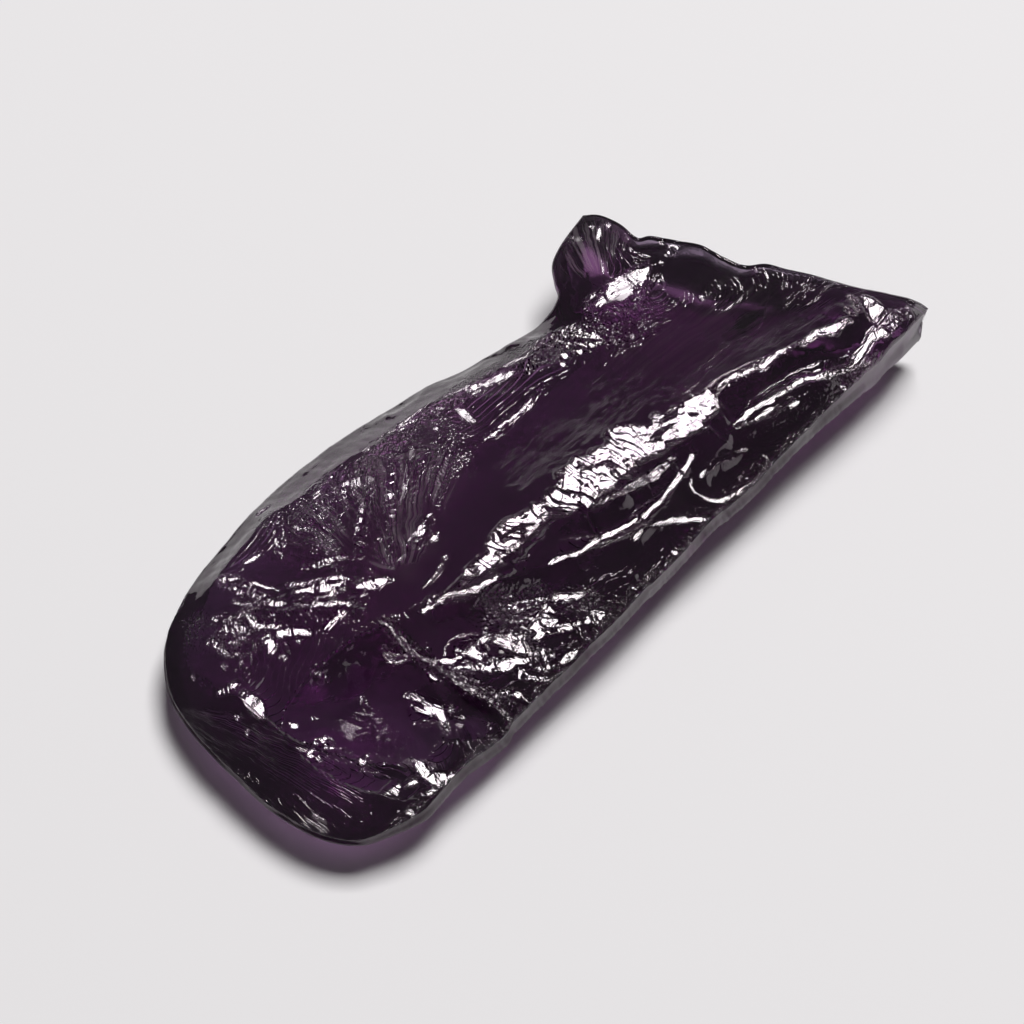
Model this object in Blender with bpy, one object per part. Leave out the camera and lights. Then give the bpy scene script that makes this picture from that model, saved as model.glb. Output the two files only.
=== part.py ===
"""Rough alexandrite: one split piece of a grown crystal, lying on its rounded back.

The stone is a single solid. Its upper face is a glassy conchoidal fracture: a long
crest runs down the stone, a broad hollow falls from it to a thin bevelled edge on +Y,
and a row of smaller flake scars lies between it and the smooth grown wall on -Y. The
-X end is the rounded end of the crystal, the +X end is a jagged break with a sharp
tip and a nub. The underside is the smooth grown skin, with a small flat to rest on.

All sizes below are in millimetres and are turned to metres when the mesh is made.
"""

import bmesh
import bpy
import numpy as np

MM = 0.001
NAME = "rough_alexandrite"

# ---------------------------------------------------------------- driving sizes
CELLS_ALONG = 80          # faces of the fracture face along the stone
CELLS_ACROSS = 34         # and across it
BACK_RINGS = 4            # rings of faces from the widest line down to the flat

FLAT_LENGTH_SHARE = 0.75  # flat under the stone, as a share of its outline
FLAT_WIDTH_SHARE = 0.40
FLAT_SHIFT = 1.5          # the flat sits toward the broken, thicker end

# Rim of the fracture face seen from above: four sides that share their corners.
WALL_RIM = [
    (-19.3, -8.0), (-18.4, -8.4), (-17.2, -8.65), (-15.2, -8.6), (-12.3, -8.85),
    (-9.0, -8.95), (-5.9, -9.1), (-3.0, -9.25), (0.4, -9.25), (4.3, -9.35), (8.5, -9.6),
    (12.0, -9.75), (16.0, -10.05), (19.5, -10.2), (22.4, -10.15),
]
ROUND_RIM = [
    (-19.3, -8.0), (-20.9, -7.0), (-21.9, -5.2), (-22.3, -2.6), (-22.15, 0.3),
    (-21.8, 3.2), (-20.95, 5.8), (-19.4, 7.7), (-18.3, 8.5),
]
THIN_RIM = [
    (-18.3, 8.5), (-15.5, 9.5), (-11.5, 10.15), (-7.0, 10.25), (-3.0, 9.7), (1.0, 8.85),
    (4.0, 7.75), (6.5, 6.85), (9.0, 6.35), (10.6, 6.4), (11.3, 7.2), (12.1, 8.0),
    (13.4, 8.2), (15.1, 8.3),
]
BROKEN_RIM = [
    (22.4, -10.15), (22.35, -9.5), (21.9, -8.5), (20.5, -6.75), (19.85, -5.6), (19.4, -4.3),
    (18.9, -3.1), (18.45, -1.9), (17.7, -1.0), (17.35, 0.3), (17.2, 1.6), (16.6, 3.0),
    (16.0, 4.2), (15.5, 4.8), (15.6, 6.1), (15.5, 7.5), (15.1, 8.3),
]

# How each side goes down from its rim: the drop to the widest line, how far that line
# stands out from the rim, and the roundness of the back below it (1 keeps a sharp
# edge, 2 is an ellipse, 3 is nearly upright).
WALL_SIDE = (1.1, 0.10, 1.6)
ROUND_SIDE = (0.3, 0.10, 1.8)
THIN_SIDE = (0.12, 0.0, 1.25)
BROKEN_SIDE = (1.6, -0.25, 3.0)
WALL_TALLER_AT_TIP = 1.3  # the wall grows this much between these two places
TIP_STARTS = 11.0
TIP_ENDS = 22.0
CORNER_BLEND = 2.0        # length over which one side turns into the next

# Heights of the fracture face, with its crests and scars left out.
SPOT_HEIGHTS = [
    # rim over the grown wall, low at the rounded end and high at the tip
    (-17.6, -8.8, 3.3), (-12, -8.8, 4.0), (-6, -9.3, 4.3), (0, -9.6, 4.4), (6, -9.7, 4.4),
    (12, -9.9, 4.4), (18, -10.1, 4.6), (22.3, -10.2, 4.9),
    # flake scars and middle of the stone
    (-14.5, -5, 4.0), (-8, -6, 4.6), (-3, -6.5, 4.9), (3, -7, 5.0), (9, -7.5, 5.0),
    (15, -8.5, 5.1), (-12, -1, 5.0), (-7, -1, 5.1), (0, -2, 5.3), (6, -3, 5.4), (12, -4, 5.5),
    (17, -5, 5.6),
    # broad hollow
    (-16, 3, 4.6), (-11, 3.5, 4.7), (-5, 4, 4.4), (1, 3.5, 4.3), (7, 2.5, 4.4), (12, 2, 4.9),
    (16, 1, 5.6),
    # inner line of the bevel
    (-16, 7.2, 3.7), (-9, 8.0, 3.8), (-3, 7.4, 3.8), (2, 6.3, 3.7), (7, 5.2, 3.8),
    (11, 4.8, 4.4), (14.5, 5.0, 5.2),
    # thin edge, up to the nub
    (-18.3, 8.5, 2.7), (-13, 9.9, 2.4), (-7, 10.2, 2.3), (-1, 9.3, 2.2), (4, 7.8, 2.4),
    (8.8, 6.4, 2.7), (11.2, 7.2, 3.5), (13, 8.2, 4.4), (15.2, 8.2, 5.0),
    # broken end
    (16.2, 4, 5.7), (17.4, 0.5, 6.0), (18.7, -2.5, 6.0), (19.8, -5.4, 5.9), (21.9, -8.5, 5.1),
    # rounded end, and the lip inside it
    (-22.3, -2, 2.8), (-22.1, 1, 2.8), (-21.1, 5, 2.8), (-20.9, -7, 2.8),
    (-19.6, 2.0, 4.0), (-19.7, -1.0, 3.9), (-18.6, -4.5, 3.8), (-17, -7, 3.8), (-19, 5, 3.7),
]

# Crests: the line seen from above, height, reach toward +Y and -Y, roundness of the
# top, and the share of the line over which it fades in and out.
CRESTS = {
    "main": ([(-15.6, 1.9), (-13.8, 0.6), (-11.6, -0.8), (-9.1, -2.2), (-4.8, -2.9),
              (1.1, -3.4), (6.0, -4.6), (10.9, -5.6), (14.5, -6.8), (17.9, -8.0), (21.0, -9.0)],
             1.6, 6.0, 2.4, 0.9, 0.3, 0.1),
    "branch": ([(-0.8, -4.6), (1.4, -5.3), (4.1, -6.1), (5.8, -6.1)],
               0.45, 1.2, 1.0, 0.3, 0.3, 0.3),
    "wall side": ([(-9.5, -3.2), (-5.0, -4.7), (-1.0, -6.4), (1.7, -7.3), (5.6, -7.0),
                   (8.3, -7.6), (12.1, -8.5), (16.1, -9.5), (20.5, -9.6)],
                  0.65, 1.6, 1.6, 0.35, 0.2, 0.05),
    "upper flow": ([(-15.6, 6.0), (-13.6, 4.7), (-12.2, 3.4), (-9.8, 1.2)],
                   0.5, 1.4, 1.2, 0.3, 0.3, 0.3),
    "hooked flow": ([(-17.6, 5.9), (-15.5, 5.0), (-14.2, 3.6), (-12.2, 1.5), (-13.2, 0.9)],
                    0.5, 1.0, 1.2, 0.3, 0.3, 0.2),
    "lower flow": ([(-17.6, 4.6), (-16.3, 3.6), (-15.3, 2.6), (-14.6, 1.6)],
                   0.4, 1.0, 1.2, 0.3, 0.3, 0.3),
    "first veil rib": ([(-9.2, 1.0), (-7.0, 3.4), (-5.2, 5.6), (-4.0, 7.4)],
                       0.35, 1.3, 1.3, 0.35, 0.3, 0.2),
    "second veil rib": ([(-8.2, 0.4), (-4.8, 2.6), (-2.0, 4.8), (-0.4, 6.6)],
                        0.30, 1.3, 1.3, 0.35, 0.3, 0.2),
    "third veil rib": ([(-11.2, 2.4), (-10.6, 4.4), (-9.8, 6.2), (-8.8, 7.8)],
                       0.30, 1.2, 1.2, 0.35, 0.3, 0.2),
    "leaf": ([(9.4, 4.6), (11.4, 4.2), (13.4, 3.6), (15.2, 3.0)],
             0.45, 1.3, 1.8, 0.3, 0.3, 0.2),
    "upper fan": ([(7.5, -1.0), (11.0, -0.9), (14.5, -1.2), (18.2, -2.2)],
                  0.25, 1.6, 1.6, 0.5, 0.4, 0.1),
    "lower fan": ([(8.5, -2.4), (12.5, -2.9), (16.0, -3.8), (19.2, -4.9)],
                  0.25, 1.5, 1.5, 0.5, 0.4, 0.1),
}

# Scars: centre, turn of the long axis in degrees, half length, half width, depth.
SCARS = {
    "rounded corner": ((-15.4, -3.2), 75, 5.4, 3.9, 1.1),
    "oval at the wall": ((7.6, -8.9), 3, 2.9, 1.55, 0.75),
    "wedge at the wall": ((1.6, -8.9), 8, 2.6, 1.6, 0.7),
    "crushed hollow": ((-5.6, -7.0), 35, 3.2, 2.2, 0.5),
    "beside the fault": ((-9.6, -4.2), 20, 1.9, 1.9, 0.45),
    "under the fault": ((-13.2, -7.0), 80, 2.2, 1.6, 0.5),
    "tip groove": ((17.6, -8.9), -12, 2.6, 0.9, 0.5),
    "first notch": ((19.7, -4.2), 60, 1.5, 0.9, 0.35),
    "second notch": ((17.9, -0.6), 70, 1.7, 1.0, 0.35),
    "nub hollow": ((13.4, 6.6), 20, 2.0, 1.3, 0.45),
}

# The fault: a ledge straight across the stone, with the rounded end on its low side.
FAULT_LINE = [(-11.5, -1.2), (-11.8, -3.0), (-11.7, -5.4), (-11.4, -9.4)]
FAULT_DROP = 0.5
FAULT_WIDTH = 0.5
FAULT_REACH = 4.0

BODY_COLOUR = (0.055, 0.018, 0.075, 1.0)
BODY_ROUGHNESS = 0.06
CHRYSOBERYL_IOR = 1.746


# ---------------------------------------------------------------- curves and fields
def smooth_step(start, end, value):
    """0 before start, 1 after end, and an even curve between them."""
    t = np.clip((value - start) / (end - start), 0, 1)
    return t * t * (3 - 2 * t)


def curve_through(points, count):
    """Count points at even distances on a smooth curve through the given points."""
    given = np.asarray(points, float)
    ends = np.vstack([2 * given[0] - given[1], given, 2 * given[-1] - given[-2]])
    t = np.linspace(0, 1, 16, endpoint=False)[:, None]
    runs = []
    for before, a, b, after in zip(ends, ends[1:], ends[2:], ends[3:]):
        runs.append(0.5 * (2 * a + (b - before) * t
                           + (2 * before - 5 * a + 4 * b - after) * t ** 2
                           + (3 * a - before - 3 * b + after) * t ** 3))
    fine = np.vstack(runs + [given[-1:]])
    way = np.r_[0, np.cumsum(np.linalg.norm(np.diff(fine, axis=0), axis=1))]
    stops = np.linspace(0, way[-1], count)
    return np.column_stack([np.interp(stops, way, fine[:, k]) for k in range(2)])


def along_line(line, x, y, pieces=24):
    """Distance from a line, positive on its left, and the share of its length passed."""
    points = curve_through(line, pieces + 1)
    nearest = np.full(x.shape, np.inf)
    distance = np.zeros(x.shape)
    share = np.zeros(x.shape)
    for i, (start, end) in enumerate(zip(points, points[1:])):
        run = end - start
        t = np.clip(((x - start[0]) * run[0] + (y - start[1]) * run[1]) / (run @ run), 0, 1)
        gap_x = x - start[0] - t * run[0]
        gap_y = y - start[1] - t * run[1]
        gap = np.hypot(gap_x, gap_y)
        closer = gap < nearest
        nearest = np.where(closer, gap, nearest)
        left = np.sign(run[0] * gap_y - run[1] * gap_x)
        distance = np.where(closer, gap * left, distance)
        share = np.where(closer, (i + t) / pieces, share)
    return distance, share


def crest(x, y, line, height, reach_left, reach_right, roundness, fade_in, fade_out):
    """A ridge where two hollow shells meet: concave on both flanks."""
    distance, share = along_line(line, x, y)
    reach = np.where(distance > 0, reach_left, reach_right)
    away = (np.hypot(distance, roundness) - roundness) / reach
    fade = smooth_step(0, fade_in, share) * (1 - smooth_step(1 - fade_out, 1, share))
    return height * np.clip(1 - away, 0, 1) ** 2 * fade


def scar(x, y, centre, turn, half_length, half_width, depth):
    """Depth of a dished flake scar, zero outside its edge."""
    angle = np.radians(turn)
    across_x = x - centre[0]
    across_y = y - centre[1]
    p = (across_x * np.cos(angle) + across_y * np.sin(angle)) / half_length
    q = (across_y * np.cos(angle) - across_x * np.sin(angle)) / half_width
    return depth * np.clip(1 - p * p - q * q, 0, None)


def sheet_through(spots):
    """A thin bent plate through the spot heights, as a function of x and y."""
    spots = np.asarray(spots, float)
    count = len(spots)

    def bend(square):
        return 0.5 * square * np.log(np.maximum(square, 1e-12))

    gaps = ((spots[:, None, :2] - spots[None, :, :2]) ** 2).sum(-1)
    system = np.zeros((count + 3, count + 3))
    system[:count, :count] = bend(gaps) + 0.05 * np.eye(count)
    system[:count, count] = 1
    system[:count, count + 1:] = spots[:, :2]
    system[count:, :count] = system[:count, count:].T
    weights = np.linalg.solve(system, np.r_[spots[:, 2], 0, 0, 0])

    def height(x, y):
        z = weights[count] + weights[count + 1] * x + weights[count + 2] * y
        for (spot_x, spot_y, _), weight in zip(spots, weights):
            z = z + weight * bend((x - spot_x) ** 2 + (y - spot_y) ** 2)
        return z

    return height


base_sheet = sheet_through(SPOT_HEIGHTS)


def fracture_height(x, y):
    """Height of the fracture face over every x and y."""
    z = base_sheet(x, y)
    for line, *shape in CRESTS.values():
        z = z + crest(x, y, line, *shape)
    for centre, turn, half_length, half_width, depth in SCARS.values():
        z = z - scar(x, y, centre, turn, half_length, half_width, depth)
    distance, share = along_line(FAULT_LINE, x, y)
    low_side = smooth_step(FAULT_WIDTH / 2, -FAULT_WIDTH / 2, distance)
    fade = smooth_step(FAULT_REACH, 0, np.abs(distance)) * smooth_step(0, 0.2, share)
    return z - FAULT_DROP * low_side * fade


# ---------------------------------------------------------------- the solid
def fracture_plan(u, v):
    """Where points of the unit square lie in the rim: a patch between its four sides."""
    wall = curve_through(WALL_RIM, CELLS_ALONG + 1)
    thin = curve_through(THIN_RIM, CELLS_ALONG + 1)
    rounded = curve_through(ROUND_RIM, CELLS_ACROSS + 1)
    broken = curve_through(BROKEN_RIM, CELLS_ACROSS + 1)
    column = np.rint(u * CELLS_ALONG).astype(int)
    row = np.rint(v * CELLS_ACROSS).astype(int)
    u, v = u[:, None], v[:, None]
    across = (1 - v) * wall[column] + v * thin[column]
    length = (1 - u) * rounded[row] + u * broken[row]
    corners = ((1 - u) * (1 - v) * wall[0] + u * (1 - v) * wall[-1]
               + (1 - u) * v * thin[0] + u * v * thin[-1])
    return across + length - corners


def way_down(u, v):
    """Drop, stand-out and roundness at rim points, blended where two sides meet."""
    length = WALL_RIM[-1][0] - WALL_RIM[0][0]
    width = BROKEN_RIM[-1][1] - BROKEN_RIM[0][1]
    nearness = np.clip([
        1 - v * width / CORNER_BLEND,
        1 - u * length / CORNER_BLEND,
        1 - (1 - v) * width / CORNER_BLEND,
        1 - (1 - u) * length / CORNER_BLEND,
    ], 0, 1)
    sides = np.array([WALL_SIDE, ROUND_SIDE, THIN_SIDE, BROKEN_SIDE])
    return sides.T @ (nearness / nearness.sum(axis=0))


def rings_below(rim, u, v):
    """The rings of points from the rim down to the flat, the rim itself left out."""
    drop, stand_out, roundness = way_down(u, v)
    drop = drop + WALL_TALLER_AT_TIP * smooth_step(TIP_STARTS, TIP_ENDS, rim[:, 0]) * (v == 0)
    run = np.roll(rim, -1, axis=0)[:, :2] - np.roll(rim, 1, axis=0)[:, :2]
    outward = np.column_stack([run[:, 1], -run[:, 0]])
    outward /= np.linalg.norm(outward, axis=1, keepdims=True)
    widest = rim.copy()
    widest[:, :2] += outward * stand_out[:, None]
    widest[:, 2] -= drop
    flat = np.column_stack([
        widest[:, 0] * FLAT_LENGTH_SHARE + FLAT_SHIFT,
        widest[:, 1] * FLAT_WIDTH_SHARE,
        np.zeros(len(rim)),
    ])
    rings = [widest]
    for step in range(1, BACK_RINGS + 1):
        turn = 0.5 * np.pi * step / (BACK_RINGS + 1)
        outer = (np.cos(turn) ** (2 / roundness))[:, None]
        lower = np.sin(turn) ** (2 / roundness)
        ring = flat + (widest - flat) * outer
        ring[:, 2] = widest[:, 2] * (1 - lower)
        rings.append(ring)
    return rings + [flat]


def make_stone():
    """The fracture face as a shaped grid, then its rim drawn down into the back."""
    bm = bmesh.new()
    bmesh.ops.create_grid(bm, x_segments=CELLS_ALONG, y_segments=CELLS_ACROSS, size=1)
    square = np.array([vert.co[:2] for vert in bm.verts]) / 2 + 0.5
    plan = fracture_plan(square[:, 0], square[:, 1])
    face = np.column_stack([plan, fracture_height(plan[:, 0], plan[:, 1])])
    for vert, point in zip(bm.verts, face):
        vert.co = point * MM

    # number the rim points in order round the stone, so that each ring can follow them
    corner = bm.verts.layers.int.new("place on rim")
    rim_edges = [edge for edge in bm.edges if edge.is_boundary]
    around = rim_order(rim_edges)
    for place, vert in enumerate(around):
        vert[corner] = place
    order = [vert.index for vert in around]
    rim_square = square[order]
    for ring in rings_below(face[order], rim_square[:, 0], rim_square[:, 1]):
        grown = bmesh.ops.extrude_edge_only(bm, edges=rim_edges)["geom"]
        rim_edges = [part for part in grown if isinstance(part, bmesh.types.BMEdge)
                     and part.is_boundary]
        for part in grown:
            if isinstance(part, bmesh.types.BMVert):
                part.co = ring[part[corner]] * MM
    bmesh.ops.contextual_create(bm, geom=rim_edges)
    bmesh.ops.triangulate(bm, faces=bm.faces)
    bmesh.ops.recalc_face_normals(bm, faces=bm.faces)
    mesh = bpy.data.meshes.new(NAME)
    bm.to_mesh(mesh)
    bm.free()
    return mesh


def rim_order(rim_edges):
    """The points of a closed rim, one after another, counter-clockwise from above."""
    neighbours = {}
    for edge in rim_edges:
        for vert in edge.verts:
            neighbours.setdefault(vert, []).append(edge.other_vert(vert))
    start = min(neighbours, key=lambda vert: vert.co.x + vert.co.y)
    ahead = max(neighbours[start], key=lambda vert: vert.co.x)
    around = [start, ahead]
    while True:
        back, here = around[-2:]
        onward = [vert for vert in neighbours[here] if vert is not back][0]
        if onward is start:
            return around
        around.append(onward)


def stone_material():
    """Dark violet glassy chrysoberyl."""
    material = bpy.data.materials.new(NAME)
    material.use_nodes = True
    shader = material.node_tree.nodes["Principled BSDF"]
    shader.inputs["Base Color"].default_value = BODY_COLOUR
    shader.inputs["Roughness"].default_value = BODY_ROUGHNESS
    shader.inputs["Metallic"].default_value = 0.0
    shader.inputs["IOR"].default_value = CHRYSOBERYL_IOR
    material.diffuse_color = BODY_COLOUR
    return material


for old in list(bpy.data.objects):
    bpy.data.objects.remove(old)

stone_collection = bpy.data.collections.new("rough alexandrite")
bpy.context.scene.collection.children.link(stone_collection)
stone = bpy.data.objects.new(NAME, make_stone())
stone.data.materials.append(stone_material())
stone_collection.objects.link(stone)
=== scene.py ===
import math

import bpy
import numpy as np
from mathutils import Matrix, Vector


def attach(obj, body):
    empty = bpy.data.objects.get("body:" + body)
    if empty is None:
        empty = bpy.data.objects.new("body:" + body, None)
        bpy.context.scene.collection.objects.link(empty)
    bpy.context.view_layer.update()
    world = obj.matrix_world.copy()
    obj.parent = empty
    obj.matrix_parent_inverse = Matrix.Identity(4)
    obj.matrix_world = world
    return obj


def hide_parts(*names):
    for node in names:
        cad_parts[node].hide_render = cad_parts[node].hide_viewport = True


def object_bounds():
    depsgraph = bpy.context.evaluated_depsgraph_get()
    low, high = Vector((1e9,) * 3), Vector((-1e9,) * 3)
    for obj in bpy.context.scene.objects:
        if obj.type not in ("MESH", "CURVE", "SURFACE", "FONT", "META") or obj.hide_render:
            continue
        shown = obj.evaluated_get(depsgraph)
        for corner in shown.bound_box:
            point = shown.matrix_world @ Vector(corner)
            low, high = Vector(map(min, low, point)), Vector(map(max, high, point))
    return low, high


# A rough alexandrite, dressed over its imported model, on a pale sheet under a softbox.
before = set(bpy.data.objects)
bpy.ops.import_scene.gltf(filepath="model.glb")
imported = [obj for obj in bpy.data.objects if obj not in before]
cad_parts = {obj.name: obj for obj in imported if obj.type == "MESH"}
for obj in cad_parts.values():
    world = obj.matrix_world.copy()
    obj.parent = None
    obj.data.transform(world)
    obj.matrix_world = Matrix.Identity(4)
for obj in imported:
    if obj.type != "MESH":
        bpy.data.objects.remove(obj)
cad_box = [list(corner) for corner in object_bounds()]
MM = 0.001

# ---------------------------------------------------------------- the stone: outline
# One splinter of rough alexandrite, about 45 mm long, split off along a glassy conchoidal
# fracture. The fracture face on top has four sides, given here in millimetres, and from
# each of them the skin goes down in its own way to a rounded back with a small flat.
CELLS_ALONG = 400
CELLS_ACROSS = 186
SIDE_RINGS = 6
BACK_RINGS = 10
FLAT_LENGTH_SHARE = 0.75
FLAT_WIDTH_SHARE = 0.40
FLAT_SHIFT = 1.5
WALL_RIM = [
    (-19.3, -8.0), (-18.4, -8.4), (-17.2, -8.65), (-15.2, -8.6), (-12.3, -8.85),
    (-9.0, -8.95), (-5.9, -9.1), (-3.0, -9.25), (0.4, -9.25), (4.3, -9.35), (8.5, -9.6),
    (12.0, -9.75), (16.0, -10.05), (19.5, -10.2), (22.4, -10.15),
]
ROUND_RIM = [
    (-19.3, -8.0), (-20.9, -7.0), (-21.9, -5.2), (-22.3, -2.6), (-22.15, 0.3),
    (-21.8, 3.2), (-20.95, 5.8), (-19.4, 7.7), (-18.3, 8.5),
]
THIN_RIM = [
    (-18.3, 8.5), (-15.5, 9.5), (-11.5, 10.15), (-7.0, 10.25), (-3.0, 9.7), (1.0, 8.85),
    (4.0, 7.75), (6.5, 6.85), (9.0, 6.35), (10.6, 6.4), (11.3, 7.2), (12.1, 8.0),
    (13.4, 8.2), (15.1, 8.3),
]
BROKEN_RIM = [
    (22.4, -10.15), (22.35, -9.5), (21.9, -8.5), (20.5, -6.75), (19.85, -5.6), (19.4, -4.3),
    (18.9, -3.1), (18.45, -1.9), (17.7, -1.0), (17.35, 0.3), (17.2, 1.6), (16.6, 3.0),
    (16.0, 4.2), (15.5, 4.8), (15.6, 6.1), (15.5, 7.5), (15.1, 8.3),
]
# drop to the widest line, stand-out of that line, roundness of the back below it
WALL_SIDE = (1.1, 0.10, 1.6)
ROUND_SIDE = (0.3, 0.10, 1.8)
THIN_SIDE = (0.12, 0.0, 1.25)
BROKEN_SIDE = (1.6, -0.25, 3.0)
WALL_TALLER_AT_TIP = 1.3
TIP_STARTS = 11.0
TIP_ENDS = 22.0
CORNER_BLEND = 2.0
CURVE_POINTS = 16            # points worked out between two given ones


def smooth_step(start, end, value):
    """0 before start, 1 after end, and an even curve between them."""
    t = np.clip((value - start) / (end - start), 0, 1)
    return t * t * (3 - 2 * t)


def curve_through(points, count):
    """Count points at even distances on a smooth curve through the given points."""
    given = np.asarray(points, float)
    ends = np.vstack([2 * given[0] - given[1], given, 2 * given[-1] - given[-2]])
    t = np.linspace(0, 1, CURVE_POINTS, endpoint=False)[:, None]
    runs = []
    for before, a, b, after in zip(ends, ends[1:], ends[2:], ends[3:]):
        runs.append(0.5 * (2 * a + (b - before) * t
                           + (2 * before - 5 * a + 4 * b - after) * t ** 2
                           + (3 * a - before - 3 * b + after) * t ** 3))
    fine = np.vstack(runs + [given[-1:]])
    way = np.r_[0, np.cumsum(np.linalg.norm(np.diff(fine, axis=0), axis=1))]
    stops = np.linspace(0, way[-1], count)
    return np.column_stack([np.interp(stops, way, fine[:, k]) for k in range(2)])


# ---------------------------------------------------------------- the stone: big forms
# The break ran through the crystal as hollow shells. They leave a bent face, crests where
# two shells meet, dished scars where flakes sprang off, and one fault that steps across.
# x, y and height of spots on the face
SPOT_HEIGHTS = [
    (-17.6, -8.8, 3.2), (-12, -8.8, 3.6), (-6, -9.3, 3.8), (0, -9.6, 4.0), (6, -9.7, 4.2),
    (12, -9.9, 4.3), (18, -10.1, 4.5), (22.3, -10.2, 4.9),
    (-14.5, -5, 4.6), (-8, -6, 4.6), (-3, -6.5, 4.9), (3, -7, 5.0), (9, -7.5, 5.0),
    (15, -8.5, 5.1), (-12, -1, 5.0), (-7, -1, 5.1), (0, -2, 5.3), (6, -3, 5.4), (12, -4, 5.5),
    (17, -5, 5.3), (20.8, -8.9, 5.5),
    (-16, 3, 4.6), (-11, 3.5, 4.7), (-5, 4, 4.4), (1, 3.5, 4.2), (7, 2.5, 4.2), (12, 2, 4.6),
    (16, 1, 5.15), (16.6, -1.6, 5.2), (14.8, 2.6, 4.5),
    (-16, 7.2, 3.7), (-9, 8.0, 3.8), (-3, 7.4, 3.8), (2, 6.3, 3.7), (7, 5.2, 3.8),
    (11, 4.8, 4.4), (14.5, 5.0, 5.2),
    (-18.3, 8.5, 2.7), (-13, 9.9, 2.4), (-7, 10.2, 2.3), (-1, 9.3, 2.2), (4, 7.8, 2.4),
    (8.8, 6.4, 2.7), (11.2, 7.2, 3.5), (13, 8.2, 4.4), (15.2, 8.2, 5.0),
    (16.2, 4, 5.7), (17.4, 0.5, 5.85), (18.7, -2.5, 5.85), (19.8, -5.4, 5.75), (21.9, -8.5, 5.1),
    (-22.3, -2, 2.8), (-22.1, 1, 2.8), (-21.1, 5, 2.8), (-20.9, -7, 2.8),
    (-19.6, 2.0, 4.0), (-19.7, -1.0, 3.9), (-18.6, -4.5, 4.3), (-17, -7, 4.4), (-19, 5, 3.7),
]
# line seen from above, height, reach toward +Y and -Y, roundness, share of fade in and out
CRESTS = {
    "main": ([(-15.6, 1.9), (-13.8, 0.6), (-11.6, -0.8), (-9.1, -2.2), (-4.8, -2.9),
              (1.1, -3.4), (6.0, -4.6), (10.9, -5.6), (14.5, -6.8), (17.9, -8.0), (21.0, -9.0)],
             1.6, 6.0, 3.2, 0.2, 0.3, 0.1),
    "branch": ([(-0.8, -4.6), (1.4, -5.3), (4.1, -6.1), (5.8, -6.1)],
               0.45, 1.2, 1.0, 0.15, 0.3, 0.3),
    "wall side": ([(-9.5, -3.2), (-5.0, -4.7), (-1.0, -6.4), (1.7, -7.3), (5.6, -7.0),
                   (8.3, -7.6), (12.1, -8.5), (16.1, -9.5), (20.5, -9.6)],
                  0.5, 1.8, 1.6, 0.18, 0.2, 0.05),
    "upper flow": ([(-15.6, 6.0), (-13.6, 4.7), (-12.2, 3.4), (-9.8, 1.2)],
                   0.28, 1.4, 1.2, 0.3, 0.3, 0.3),
    "hooked flow": ([(-17.6, 5.9), (-15.5, 5.0), (-14.2, 3.6), (-12.2, 1.5), (-13.2, 0.9)],
                    0.3, 1.2, 1.2, 0.3, 0.3, 0.2),
    "lower flow": ([(-17.6, 4.6), (-16.3, 3.6), (-15.3, 2.6), (-14.6, 1.6)],
                   0.25, 1.0, 1.2, 0.3, 0.3, 0.3),
    "first veil rib": ([(-9.2, 1.0), (-7.0, 3.4), (-5.2, 5.6), (-4.0, 7.4)],
                       0.35, 1.3, 1.3, 0.25, 0.3, 0.2),
    "second veil rib": ([(-8.2, 0.4), (-4.8, 2.6), (-2.0, 4.8), (-0.4, 6.6)],
                        0.30, 1.3, 1.3, 0.25, 0.3, 0.2),
    "third veil rib": ([(-11.2, 2.4), (-10.6, 4.4), (-9.8, 6.2), (-8.8, 7.8)],
                       0.30, 1.2, 1.2, 0.25, 0.3, 0.2),
    "shoulder": ([(-17.0, 7.5), (-14.4, 8.3), (-11.0, 8.7), (-7.0, 8.75), (-3.3, 8.2),
                  (0.6, 7.4), (3.6, 6.3), (6.0, 5.5), (8.6, 5.1)],
                 0.6, 1.5, 2.6, 0.12, 0.1, 0.1),
    "leaf": ([(9.4, 4.6), (11.4, 4.2), (13.4, 3.6), (15.2, 3.0)],
             0.25, 1.3, 1.8, 0.3, 0.3, 0.2),
    "upper fan": ([(7.5, -1.0), (11.0, -0.9), (14.5, -1.2), (18.2, -2.2)],
                  0.05, 1.6, 1.6, 0.3, 0.4, 0.1),
    "lower fan": ([(8.5, -2.4), (12.5, -2.9), (16.0, -3.8), (19.2, -4.9)],
                  0.05, 1.5, 1.5, 0.3, 0.4, 0.1),
}
# centre, turn of the long axis in degrees, half length, half width, depth
SCARS = {
    "oval at the wall": ((7.6, -8.7), 3, 2.9, 1.4, 0.6),
    "wedge at the wall": ((1.6, -8.9), 8, 2.6, 1.6, 0.42),
    "crushed hollow": ((-5.6, -7.0), 35, 3.2, 1.9, 0.5),
    "beside the fault": ((-9.6, -4.2), 20, 1.9, 1.9, 0.45),
    "tip groove": ((17.6, -8.9), -12, 2.6, 0.9, 0.15),
}
BOWL = ((-14.6, -1.6), -8, 2.6, 4.6, 1.6, 7.0, 2.5)
FAR_HOLLOW = ((-12.7, -6.4), -70, 1.8, 2.4, 1.3, 1.3, 0.9)
BEVEL = (0.05, 0.75)         # rise at the thin rim, and slope up from it
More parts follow.
